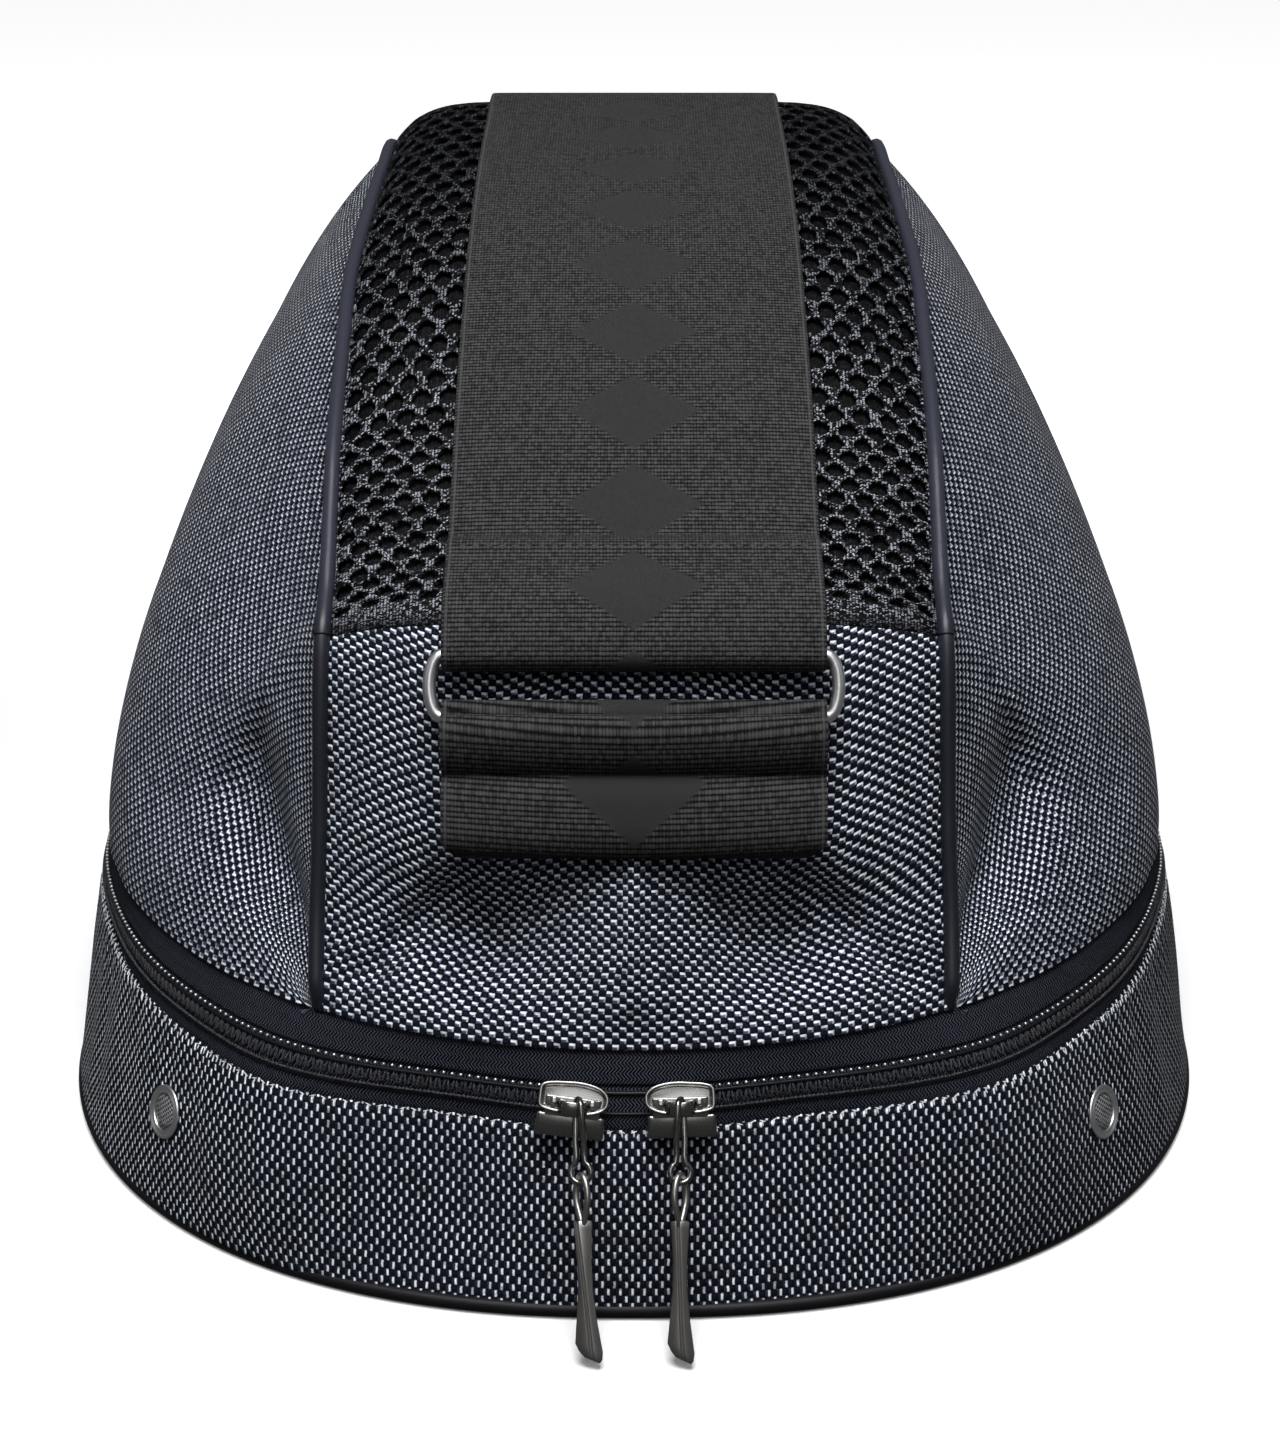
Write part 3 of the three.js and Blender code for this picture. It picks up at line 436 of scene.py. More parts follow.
def satin(dark, light, rough, shine):
    """A smooth soft finish, a little cloudy between two colours."""

    def recipe(wire):
        grain = wire.noise(900.0, 3.0)
        cloud = wire.noise(40.0, 2.0)
        return {
            "Base Color": cloud.shade(dark, light),
            "Roughness": cloud.between(rough - 0.05, rough + 0.08),
            "Specular IOR Level": shine,
            "Normal": wire.bump(grain, 0.2, 0.0001),
        }

    return recipe


binding = finish_of("black_binding", satin((0.004, 0.004, 0.005), (0.008, 0.008, 0.010), 0.45, 0.2))
path = []
for i in range(OUTLINE_STEPS * 2):
    point = plan_point(math.tau * i / (OUTLINE_STEPS * 2), 0, PIPING_THICK / 2)
    point.z = PIPING_THICK / 2
    path.append(point)
base_piping = tube("base_binding", path, PIPING_THICK, binding, closed=True)
hand_over(base_piping, "base_piping")


# Band: one long strip of the same nylon, turned by a quarter, standing all round the base.
# Its top edge is folded over and stitched to the zip, and two eyelets pierce its front.
CLOTH = 0.0024
ZIP_WIDTH = 0.0156
EYELET_ANGLE = 47
EYELET_HEIGHT = 0.0215
EYELET_HOLE = 0.0086
FOLD_ROUND = 0.0013
FOLD_STARTS = 0.86
BAND_CLOTH = 0.0013
BAND_COLUMNS = 600
BAND_ROWS = 35
BAND_RADIUS = 0.16
BUCKLE = 0.00016
SLACK = 0.0003
EYELET_CALM = 5
BAG_HEART = Vector((0, 0, 0.06))
SIDES = (("left", -1), ("right", 1))


def eyelet_frame(side):
    """The place of an eyelet on the band, with its y axis pointing out."""
    angle = side * math.radians(EYELET_ANGLE)
    share = EYELET_HEIGHT / rim_height(angle)
    step = 0.02
    along = wall_point(angle + step, share) - wall_point(angle - step, share)
    up = wall_point(angle, share + step) - wall_point(angle, share - step)
    out = along.cross(up).normalized()
    turn = Vector((0, 1, 0)).rotation_difference(out).to_matrix().to_4x4()
    return Matrix.Translation(wall_point(angle, share)) @ turn


def running(points, zero=0.0):
    """The length run at each of the points of a line, counted from a share of their number."""
    run = [0.0]
    for a, b in zip(points, points[1:]):
        run.append(run[-1] + (b - a).length)
    start = run[round(zero * (len(points) - 1))]
    return [value - start for value in run]


def cloth_sheet(name, columns, rows, surface, finish, thick, middle=(0.0, 0.0), holes=(), closed=False,
                folded=False):
    """A grid of cloth on a surface of two shares, with real lengths as its UV map.
    It is turned to face away from the bag's heart unless it is folded over on itself."""
    grid = [[surface(i / columns, j / rows) for i in range(columns + 1)] for j in range(rows + 1)]
    lengths = [running(line, middle[0]) for line in grid]
    heights = [running(line, middle[1]) for line in zip(*grid)]

    def cell(vertex):
        return round((vertex.co.x + 0.5) * columns), round((vertex.co.y + 0.5) * rows)

    shape = bmesh.new()
    bmesh.ops.create_grid(shape, x_segments=columns, y_segments=rows, size=0.5)
    cloth = shape.loops.layers.uv.new("cloth")
    for face in shape.faces:
        for loop in face.loops:
            i, j = cell(loop.vert)
            loop[cloth].uv = (lengths[j][i], heights[i][j])
    for vertex in shape.verts:
        i, j = cell(vertex)
        vertex.co = grid[j][i]
    if closed:
        bmesh.ops.remove_doubles(shape, verts=shape.verts[:], dist=1e-5)
    for centre, radius in holes:
        gone = [f for f in shape.faces if (f.calc_center_median() - centre).length < radius]
        bmesh.ops.delete(shape, geom=gone, context="FACES")
        for vertex in shape.verts:
            off = vertex.co - centre
            if vertex.is_boundary and off.length < radius * 1.6:
                vertex.co = centre + off.normalized() * radius
    shape.normal_update()
    if not folded and sum((f.calc_center_median() - BAG_HEART).dot(f.normal) for f in shape.faces) < 0:
        bmesh.ops.reverse_faces(shape, faces=shape.faces[:])
    piece = new_piece(name, shape, finish)
    body = piece.modifiers.new("thickness", "SOLIDIFY")
    body.thickness = thick
    body.offset = -1
    body.use_even_offset = True
    edge = piece.modifiers.new("turned_edge", "BEVEL")
    edge.width = thick * 0.3
    edge.segments = 2
    edge.limit_method = "ANGLE"
    edge.angle_limit = math.radians(60)
    return piece


def band_surface(along, up):
    """The band from its foot to its fold, where the cloth turns over to the zip.
    It buckles finely under the fold and hangs a little slack below, but lies flat at the eyelets."""
    angle = mix(-math.pi, math.pi, along)
    foot = PIPING_THICK * 0.7 / rim_height(angle)
    turn = max(up - FOLD_STARTS, 0.0) / (1 - FOLD_STARTS) * math.radians(100)
    rise = min(up / FOLD_STARTS, 1.0)
    share = mix(foot, below(angle, ZIP_WIDTH + FOLD_ROUND * (1 - math.sin(turn))), rise)
    run = angle * BAND_RADIUS
    buckle = math.sin(run * 690 + 2.1 * math.sin(run * 130)) * math.exp(-((1 - rise) / 0.35) ** 2)
    slack = math.sin(run * 220 + 1.3 * math.sin(run * 71 + 1) + rise * 1.5) * math.sin(math.pi * rise)
    slack *= 1 - math.exp(-(((abs(math.degrees(angle)) - EYELET_ANGLE) / EYELET_CALM) ** 4))
    return wall_point(angle, share, BUCKLE * buckle + SLACK * slack - FOLD_ROUND * (1 - math.cos(turn)))


holes = [(eyelet_frame(side).translation, EYELET_HOLE / 2) for _, side in SIDES]
band = cloth_sheet("band", BAND_COLUMNS, BAND_ROWS, band_surface, nylon_turned, BAND_CLOTH,
                   middle=(0.5, 0.0), holes=holes, closed=True)
hand_over(band, "base_band")


# Eyelets: two pressed nickel rings in the front of the band that let air in.
# Each holds a small disc of woven dark wire.
EYELET_FLANGE = 0.0112
EYELET_INNER = 0.0077
EYELET_EDGE = 0.0006
WIRE_PITCH = 0.00085


def bright_metal(colour, rough):
    """Polished metal with a little wear."""

    def recipe(wire):
        wear = wire.noise(420.0, 4.0)
        cloud = wire.noise(90.0, 2.0)
        return {
            "Base Color": cloud.shade(tuple(c * 0.8 for c in colour), colour),
            "Metallic": 1.0,
            "Roughness": wear.between(rough - 0.03, rough + 0.05),
            "Normal": wire.bump(cloud, 0.03, 0.0001),
        }

    return recipe


def woven_wire(wire):
    """Fine wires that cross on a slant, with dark gaps between them."""
    x, _, z = wire.node("TexCoord", {}, {}, 3).split()
    bars = [(way / WIRE_PITCH).math("FRACT") for way in (x + z, x - z)]
    bars = [(bar * 2 - 1).math("ABSOLUTE").step(0.42, 0.15) for bar in bars]
    net = bars[0].math("MAXIMUM", bars[1])
    return {
        "Base Color": net.shade((0.0015, 0.0015, 0.002), (0.34, 0.345, 0.36)),
        "Metallic": 0.2,
        "Roughness": 0.35,
        "Normal": wire.bump(net, 0.8, 0.0003),
    }


nickel = finish_of("nickel", bright_metal((0.88, 0.885, 0.90), 0.34))
wire_net = finish_of("woven_wire", woven_wire)


def turned(name, profile, place, finish, steps=48):
    """A ring or disc turned about the y axis from a profile of radius and height, then placed."""
    shape = bmesh.new()
    knots = [shape.verts.new((radius, height, 0.0)) for radius, height in profile]
    for a, b in zip(knots, knots[1:]):
        shape.edges.new((a, b))
    bmesh.ops.spin(shape, geom=shape.verts[:] + shape.edges[:], cent=(0, 0, 0), axis=(0, 1, 0),
                   angle=math.tau, steps=steps, use_merge=True)
    bmesh.ops.remove_doubles(shape, verts=shape.verts[:], dist=1e-6)
    bmesh.ops.transform(shape, matrix=place, verts=shape.verts[:])
    bmesh.ops.recalc_face_normals(shape, faces=shape.faces[:])
    return new_piece(name, shape, finish)


for word, side in SIDES:
    inner = EYELET_INNER / 2
    flange = EYELET_FLANGE / 2
    ring = [
        (inner, -CLOTH), (EYELET_HOLE / 2, -CLOTH), (EYELET_HOLE / 2, 0.0001), (flange, 0.0001),
        (flange, EYELET_EDGE * 0.6), (flange - 0.0002, EYELET_EDGE), (flange - 0.0005, EYELET_EDGE),
        (flange - 0.0008, EYELET_EDGE * 0.45), (inner + 0.0006, EYELET_EDGE * 0.4),
        (inner + 0.0004, EYELET_EDGE * 0.85), (inner + 0.0001, EYELET_EDGE * 0.8), (inner, 0.0),
        (inner, -CLOTH),
    ]
    piece = turned(f"eyelet_{word}", ring, eyelet_frame(side), nickel)
    hand_over(piece, f"eyelet_ring_{word}")
    rim = inner * 0.98
    dish = [(0.0, 0.0006), (inner * 0.5, 0.00053), (rim, 0.0002), (rim, -0.0001), (0.0, 0.0002)]
    piece = turned(f"eyelet_net_{word}", dish, eyelet_frame(side), wire_net, 32)
    hand_over(piece, f"eyelet_mesh_{word}")


# Front panel of the lid: a piece of nylon from the zip up to the seam below the mesh.
# It dips on both sides of a soft upright crease in its middle.
HEIGHT = 0.203
STRIP_WIDTH = 0.124
STRIP_CROWN = 0.011
HEM_FADE = 0.16
FRONT_DENT = 0.0090
FRONT_RIDGE = 0.0023
FRONT_STAR = 0.0025
SEAM_TUCK = 0.0012
PROFILE_COLUMNS = ("back", "up", "wide", "crown", "round", "lean", "hem_lean", "swell")
PROFILE = [dict(zip(PROFILE_COLUMNS, row)) for row in (
    (0.0571, 0.240, 1.02, 1.20, 5, 62, 24, 1.00),
    (0.0864, 0.333, 1.02, 1.10, 5, 62, 20, 1.00),
    (0.1123, 0.428, 1.01, 0.95, 5, 61, 15, 0.98),
    (0.1576, 0.617, 1.00, 0.75, 5, 59, 11, 0.95),
    (0.1960, 0.659, 1.00, 0.70, 5, 55, 8, 0.93),
    (0.2419, 0.712, 1.01, 0.72, 5, 51, 6, 0.92),
    (0.2907, 0.770, 1.02, 0.76, 5, 48, 4, 0.91),
    (0.3725, 0.842, 1.03, 0.82, 5, 45, 2, 0.91),
    (0.4642, 0.907, 1.04, 0.88, 5, 43, 2, 0.91),
    (0.5769, 0.955, 1.03, 0.94, 6, 42, 2, 0.92),
    (0.6925, 0.984, 1.03, 1.00, 9, 43, 3, 0.93),
    (0.7813, 1.000, 1.03, 1.08, 9, 44, 4, 0.95),
    (0.8610, 0.957, 1.02, 1.20, 9, 47, 6, 0.97),
    (0.9109, 0.842, 1.00, 1.20, 7, 51, 8, 1.00),
    (0.9388, 0.644, 0.98, 1.20, 5, 55, 10, 1.00),
    (0.9527, 0.470, 0.96, 1.20, 5, 60, 12, 1.00),
    (0.9583, 0.312, 0.96, 1.20, 5, 62, 14, 1.00),
)]
COLUMNS = {column: [row[column] for row in PROFILE] for column in PROFILE_COLUMNS}
LAST = len(PROFILE) - 1
SEAM_FRONT = 3
SEAM_BACK = 13
FRONT_DENTS = (
    {"across": -0.48, "up": 0.36, "wide": 0.28, "tall": 0.20, "depth": 1.0},
    {"across": 0.48, "up": 0.36, "wide": 0.28, "tall": 0.20, "depth": 1.0},
    {"across": 0.0, "up": 0.29, "wide": 0.16, "tall": 0.32, "depth": -0.4},
)


def neighbours(knots, t):
    """The four knots round a station from 0 to 1, and the share of the way from the second to the third."""
    last = len(knots) - 1
    place = min(max(t, 0.0), 1.0) * last
    i = min(int(place), last - 1)
    b, c = knots[i], knots[i + 1]
    a = knots[i - 1] if i > 0 else 2 * b - c
    d = knots[i + 2] if i + 2 <= last else 2 * c - b
    return a, b, c, d, place - i


def bend(b, c, leave, arrive, share):
    """A smooth way from b to c that leaves and arrives at given speeds."""
    late = 2 * (b - c) + leave + arrive
    return b + share * (leave + share * (3 * (c - b) - 2 * leave - arrive + share * late))


def track(column, t):
    """A column of the profile at a station from 0 to 1, as a smooth curve through its rows."""
    a, b, c, d, share = neighbours(COLUMNS[column], t)
    return bend(b, c, (c - a) / 2, (d - b) / 2, share)


middle_knots = [Vector((0, front_line + row["back"] * LENGTH, row["up"] * HEIGHT)) for row in PROFILE]
middle_knots[0] = wall_point(0, 1)
middle_knots[-1] = wall_point(math.pi, 1)


def through(knots, t):
    """A point of the smooth curve through knots that stand at uneven distances."""
    a, b, c, d, share = neighbours(knots, t)
    before, here, after = (math.sqrt((q - p).length) for p, q in ((a, b), (b, c), (c, d)))
    leave = ((b - a) / before - (c - a) / (before + here) + (c - b) / here) * here
    arrive = ((c - b) / here - (d - b) / (here + after) + (d - c) / after) * here
    return bend(b, c, leave, arrive, share)


def middle(t):
    return through(middle_knots, t)


def strip_out(t):
    t = min(max(t, 0.0), 1.0)
    ahead = (middle(min(t + 1e-4, 1.0)) - middle(max(t - 1e-4, 0.0))).normalized()
    return Vector((0, -ahead.z, ahead.y))


def front_dent(across, t):
    up = t * LAST / SEAM_FRONT
    depth = 0.0
    for row in FRONT_DENTS:
        off = ((across - row["across"]) / row["wide"]) ** 2 + ((up - row["up"]) / row["tall"]) ** 2
        depth += row["depth"] * math.exp(-off)
    return FRONT_DENT * depth * ease(up, 0, 0.15)


def crown_drop(t, across):
    return STRIP_CROWN * track("crown", t) * abs(across) ** track("round", t)


def rim_angle(x, back=False):
    power = (BACK_ROUND if back else FRONT_ROUND) / 2
    angle = math.asin((x / (WIDTH / 2 - LEAN_SIDE)) ** power)
    return math.pi - angle if back else angle


def strip_point(t, across, lift=0.0):
    """A point of the centre strip: t from the front hem to the back hem, across from -1 to 1."""
    drop = crown_drop(t, across) + front_dent(across, t)
    point = middle(t) + strip_out(t) * (lift - drop)
    point.x = across * STRIP_WIDTH / 2 * track("wide", t)
    side = -1 if across < 0 else 1
    for end, row, pull in (
        (0.0, PROFILE[0], 1 - ease(t, 0, HEM_FADE)),
        (1.0, PROFILE[-1], ease(t, 1 - HEM_FADE, 1)),
    ):
        if pull > 0:
            hem = wall_point(side * rim_angle(abs(across) * STRIP_WIDTH / 2 * row["wide"], end > 0), 1)
            free = middle(end) - strip_out(end) * crown_drop(end, across)
            point.y += pull * (hem.y - free.y)
            point.z += pull * (hem.z - free.z)
    return point


def strip_sheet(name, start, stop, columns, rows, finish, thick, crease=None):
    """A panel of the centre strip between two rows of the profile, its edges under the piping."""
    edge = 1 - 0.0006 / (STRIP_WIDTH / 2)

    def surface(across, along):
        t = mix(start, stop, along) / LAST
        share = edge * mix(-1, 1, across)
        return strip_point(t, share, crease(share, t) if crease else 0.0)

    return cloth_sheet(name, columns, rows, surface, finish, thick, middle=(0.5, 0.0))


def front_crease(across, t):
    """The tuck at the seam, the upright ridge and the two creases that run out from its foot."""
    up = t * LAST / SEAM_FRONT
    tuck = -SEAM_TUCK * ease(up, 0.93, 1.0)
    ridge = FRONT_RIDGE * math.exp(-((across / 0.03) ** 2)) * ease(up, 0.1, 0.3) * (1 - ease(up, 0.6, 0.9))
    star = 0.0
    for side in (-1, 1):
        line = across * side - 0.95 + up * 0.75
        star -= FRONT_STAR * math.exp(-((line / 0.06) ** 2)) * ease(up, 0.05, 0.2) * (1 - ease(up, 0.4, 0.7))
    return tuck + ridge + star


front_panel = strip_sheet("front_panel_cloth", 0, SEAM_FRONT, 120, 90, nylon, CLOTH, front_crease)
hand_over(front_panel, "front_panel")


# Back panel of the lid: a taller piece of the same nylon behind, down to the zip.
# It is plain, and only sags a little between its seams.
BACK_SAG = 0.0012


def back_sag(across, t):
    down = (t * LAST - SEAM_BACK) / (LAST - SEAM_BACK)
    tuck = -SEAM_TUCK * (1 - ease(down, 0.0, 0.08))
    return tuck - BACK_SAG * math.sin(math.pi * down) * (1 - across ** 2)


back_panel = strip_sheet("back_panel_cloth", SEAM_BACK, LAST, 110, 90, nylon, CLOTH, back_sag)
hand_over(back_panel, "back_panel")


# Top panel of the lid: black spacer mesh, a knitted net of oval holes over a fine backing.
# It is pressed flat where it is sewn to the nylon in front and behind.
NET_THICK = 0.0009
BACKING_THICK = 0.001
BACKING_BELOW = 0.0018
CELL_WALL = 0.00125
ZIGZAG = 0.16
CELLS_ACROSS = 21
CELLS_ALONG = 54
HOLE_WIDE = 0.0044
HOLE_TALL = 0.0069


def knitted(tone):
    """Small slanted stitches of twisted yarn, left and right by turns, on black, with pale grey flecks
    painted as the yarn's glints.
    """

    def recipe(wire):
        across, along = wire.cloth_place()
        drift = wire.noise(420.0, 1.0) - 0.5
        right = across / 0.00066 + drift * 1.2
        column = right.math("FLOOR")
        slant = (right - column - 0.5) * ((column.math("FLOORED_MODULO", 2.0) * 2 - 1) * 0.9)
        up = along / 0.00058 + slant + drift * 1.2
        row = up.math("FLOOR")
        chance = wire.chance(column, row)
        bead = (right - column).mound(2.0) * (up - row).mound(2.0)
        # Painted shade: the flecks dim towards the back of the mesh, where it is seen at a grazing angle.
        far_shade = 1 - along.step(-0.07, 0.05) * 0.88
        # Painted shadow: the flecks dim within a few millimetres of the front and back seams.
        seam_shadow = along.math("ABSOLUTE").step(0.1405, 0.1345) * 0.8 + 0.2
        # Painted highlight: the pale grey flecks on the stitches stand for glints on the twisted yarn.
        light = bead.step(0.46, 0.68) * chance.step(0.35, 0.85) * far_shade * seam_shadow * tone
        return {
            "Base Color": light.shade((0.0006, 0.0007, 0.0012), (0.46, 0.48, 0.55)),
            "Roughness": 0.55,
            "Specular IOR Level": 0.1,
            "Normal": wire.bump(bead, 0.5, 0.0002),
        }

    return recipe


spacer = finish_of("spacer_mesh", knitted(1.0))
shape = bmesh.new()
bmesh.ops.create_grid(shape, x_segments=CELLS_ACROSS * 2, y_segments=CELLS_ALONG, size=0.5)
spare = []
for edge in shape.edges:
    a, b = (v.co for v in edge.verts)
    if abs(a.x - b.x) < 1e-5:
        column = round((a.x + 0.5) * CELLS_ACROSS * 2)
        row = math.floor((a.y + b.y) / 2 * CELLS_ALONG + CELLS_ALONG / 2)
        if (column + row) % 2 and 0 < column < CELLS_ACROSS * 2:
            spare.append(edge)
bmesh.ops.dissolve_edges(shape, edges=spare)
for vertex in shape.verts:
    column = round((vertex.co.x + 0.5) * CELLS_ACROSS * 2)
    row = round((vertex.co.y + 0.5) * CELLS_ALONG)
    if 0 < row < CELLS_ALONG and 0 < column < CELLS_ACROSS * 2:
        vertex.co.y += (-ZIGZAG if (column + row) % 2 else ZIGZAG) / CELLS_ALONG
along_length = running([middle(mix(SEAM_FRONT, SEAM_BACK, i / 200) / LAST) for i in range(201)])[-1]
for vertex in shape.verts:
    vertex.co.x *= STRIP_WIDTH
    vertex.co.y *= along_length
cells = shape.faces[:]
bmesh.ops.inset_individual(shape, faces=cells, thickness=CELL_WALL, use_even_offset=True)
open_reach = along_length / 2 - 2.4 / CELLS_ALONG * along_length
open_cells = [f for f in cells if abs(f.calc_center_median().y) < open_reach and len(f.verts) == 6]
for face in open_cells:
    heart = face.calc_center_bounds()
    for vertex in face.verts:
        off = vertex.co - heart
        swing = math.atan2(off.y * HOLE_WIDE, off.x * HOLE_TALL)
        vertex.co = heart + Vector((math.cos(swing) * HOLE_WIDE, math.sin(swing) * HOLE_TALL, 0)) / 2
bmesh.ops.delete(shape, geom=open_cells, context="FACES")
map_flat(shape)


def mesh_place(co, lift):
    """A flat point of the mesh panel laid over the strip."""
    along = co.y / along_length + 0.5
    across = co.x / (STRIP_WIDTH / 2)
    pressed = ease(along, 0.0, 0.035) * (1 - ease(along, 0.975, 1.0))
    rim = 1 - ease(abs(across), 0.965, 1.0)
    t = mix(SEAM_FRONT, SEAM_BACK, along) / LAST
    return strip_point(t, across * 0.99, lift - SEAM_TUCK * (1 - pressed) - 0.0008 * (1 - rim))


for vertex in shape.verts:
    vertex.co = mesh_place(vertex.co, 0.0)
bmesh.ops.recalc_face_normals(shape, faces=shape.faces[:])
shape.normal_update()
if sum(f.normal.z for f in shape.faces) < 0:
    bmesh.ops.reverse_faces(shape, faces=shape.faces[:])
top_mesh = new_piece("top_net", shape, spacer)
body = top_mesh.modifiers.new("thickness", "SOLIDIFY")
body.thickness = NET_THICK
body.offset = -1
rounded = top_mesh.modifiers.new("rounding", "SUBSURF")
rounded.levels = rounded.render_levels = 1
hand_over(top_mesh, "top_mesh_panel")


def backing_surface(across, along):
    flat = Vector(((across - 0.5) * STRIP_WIDTH, (along - 0.5) * along_length, 0))
    return mesh_place(flat, -BACKING_BELOW)


# Painted shade: the backing under the net is the same knit with its flecks dimmed to 0.22.
spacer_back = finish_of("spacer_backing", knitted(0.22))
backing = cloth_sheet("top_net_backing", 40, 90, backing_surface, spacer_back, BACKING_THICK,
                      middle=(0.5, 0.0))
hand_over(backing, None)


# Side panels: a large curved piece of nylon on each side, from the piping down to the zip.
# Each sags in one long slanting hollow behind the front corner and a softer one at the back.
SIDE_DENT = 0.0100
PANEL_PIPING = 0.0033
SIDE_BLEND = 0.09
SIDE_DENTS = (
    {"along": 0.13, "down": 0.47, "long": 0.10, "broad": 0.17, "slant": 1.1, "depth": 1.0},
    {"along": 0.25, "down": 0.80, "long": 0.09, "broad": 0.15, "slant": -0.6, "depth": 0.3},
    {"along": 0.86, "down": 0.50, "long": 0.09, "broad": 0.20, "slant": -1.0, "depth": 0.7},
)
CORNER_FRONT = rim_angle(STRIP_WIDTH / 2 * PROFILE[0]["wide"])
CORNER_BACK = rim_angle(STRIP_WIDTH / 2 * PROFILE[-1]["wide"], True)


def side_dent(along, down):
    depth = 0.0
    for row in SIDE_DENTS:
        far = along - row["along"]
        off = down - row["down"] - row["slant"] * far
        depth += row["depth"] * math.exp(-((far / row["long"]) ** 2) - (off / row["broad"]) ** 2)
    return SIDE_DENT * depth * math.sin(math.pi * down)


def side_line(along, side):
    """The four handles of a line of a side panel, from the piping down to the hem."""
    t = mix(0.001, 0.999, along)
    angle = side * mix(CORNER_FRONT + 0.012, CORNER_BACK - 0.012, along)
    out = sum((strip_out(t + shift * SIDE_BLEND / 4) for shift in range(-4, 5)), Vector()).normalized()
    lean = math.radians(track("lean", t))
    leave = Vector((side * math.cos(lean), 0, 0)) - out * math.sin(lean)
    start = strip_point(t, side) + leave * PANEL_PIPING * 0.2
    end = wall_point(angle, 1)
    level = (wall_point(angle, 1, 0.001) - end).normalized()
    hem_lean = math.radians(track("hem_lean", t))
    arrive = level * math.sin(hem_lean) - Vector((0, 0, math.cos(hem_lean)))
    reach = (start - end).length * track("swell", t) * 0.36
    return start, start + leave * reach, end - arrive * reach, end


def side_surface(side):
    lines = {}

    def plain(along, down):
        if along not in lines:
            lines[along] = side_line(along, side)
        a, b, c, d = lines[along]
        up = 1 - down
        return a * up ** 3 + b * 3 * up ** 2 * down + c * 3 * up * down ** 2 + d * down ** 3

    def surface(along, down):
        step = 0.002
        here = plain(along, down)
        ahead = plain(min(along + step, 1), down) - plain(max(along - step, 0), down)
        fall = plain(along, min(down + step, 1)) - plain(along, max(down - step, 0))
        out = ahead.cross(fall).normalized() * -side
        ripple = math.sin(along * 60 + 2 * math.sin(along * 17)) * math.exp(-((1 - down) / 0.06) ** 2)
        return here - out * (side_dent(along, down) - 0.00015 * ripple)

    return surface


for word, side in SIDES:
    panel = cloth_sheet(f"side_cloth_{word}", 200, 96, side_surface(side), nylon, CLOTH, middle=(0.45, 1.0))
    hand_over(panel, f"side_panel_{word}")


# Piping of the lid: a satin plastic cord in each long seam between the strip and a side panel.
# A thin black thread crosses it where the mesh meets the front panel.
def satin_painted_paler_high(wire):
    """Satin navy plastic, painted paler high on the lid as painted light where it faces up."""
    *_, height = wire.node("TexCoord", {}, {}, 3).split()
    # Painted light: the colour turns paler above this height.
    high = height.step(0.112, 0.135)
    grain = wire.noise(900.0, 3.0)
    return {
        "Base Color": high.shade((0.0085, 0.0095, 0.0155), (0.030, 0.032, 0.048)),
        "Roughness": high.between(0.42, 0.32),
        "Specular IOR Level": 0.45,
        "Normal": wire.bump(grain, 0.2, 0.0001),
    }


piping_finish = finish_of("navy_piping", satin_painted_paler_high)
PIPING_TUCK = 0.0026
PIPING_LIFT = 0.0007
thread_finish = finish_of("black_thread", satin((0.003, 0.003, 0.004), (0.008, 0.008, 0.010), 0.6, 0.1))
for word, side in SIDES:
    path = []
    for i in range(321):
        t = mix(0.001, 0.999, i / 320)
        tuck = PIPING_TUCK * (1 - ease(min(t, 1 - t), 0, 0.022)) ** 2
        path.append(strip_point(t, side * (1 - tuck * 6), PIPING_LIFT - tuck))
    piping = tube(f"lid_piping_{word}", path, PANEL_PIPING, piping_finish, sides=16)
    hand_over(piping, f"panel_piping_{word}")
    knot = strip_point(SEAM_FRONT / LAST, side, PIPING_LIFT)
    ahead = (strip_point(SEAM_FRONT / LAST + 0.004, side, PIPING_LIFT) - knot).normalized()
    place = Matrix.Translation(knot) @ Vector((0, 1, 0)).rotation_difference(ahead).to_matrix().to_4x4()
    ring = [(PANEL_PIPING / 2 - 0.0001, -0.0002), (PANEL_PIPING / 2 + 0.00015, -0.00012),
            (PANEL_PIPING / 2 + 0.00015, 0.00012), (PANEL_PIPING / 2 - 0.0001, 0.0002)]
    tie = turned(f"seam_thread_{word}", ring, place, thread_finish, 24)
    hand_over(tie, None)


# Zip tapes: two black herringbone tapes, one sewn under the hem of the lid and one under the band.
# They run all round the bag and carry the coil between them.
COIL_BELOW = 0.0098
TAPE = 0.0012
TAPE_SET_IN = 0.0008
HEADS_BELOW = 0.0074


def herringbone(wire):
    """Narrow ribs of black yarn that lean left and right by turns."""
    along, up = wire.cloth_place()
    rib = (up / 0.00105).math("PINGPONG", 1.0)
    twill = (along / 0.00072 + rib * 1.3).math("FRACT")
    strand = twill.mound(2.0)
    grain = wire.noise(2500.0, 2.0)
    light = strand.step(0.6, 0.95) * grain.step(0.4, 0.6)
    return {
        "Base Color": light.shade((0.0003, 0.0004, 0.0010), (0.085, 0.090, 0.125)),
        "Roughness": 0.65,
        "Specular IOR Level": 0.03,
        "Normal": wire.bump(strand, 0.8, 0.00025),
    }


tape_finish = finish_of("zip_tape", herringbone)


def tape_surface(near, far, tuck_near, tuck_far):
    def surface(along, down):
        angle = mix(-math.pi, math.pi, along)
        inward = TAPE_SET_IN + tuck_near * (1 - ease(down, 0, 0.22)) + tuck_far * ease(down, 0.78, 1)
        return wall_point(angle, below(angle, mix(near, far, down)), -inward)

    return surface


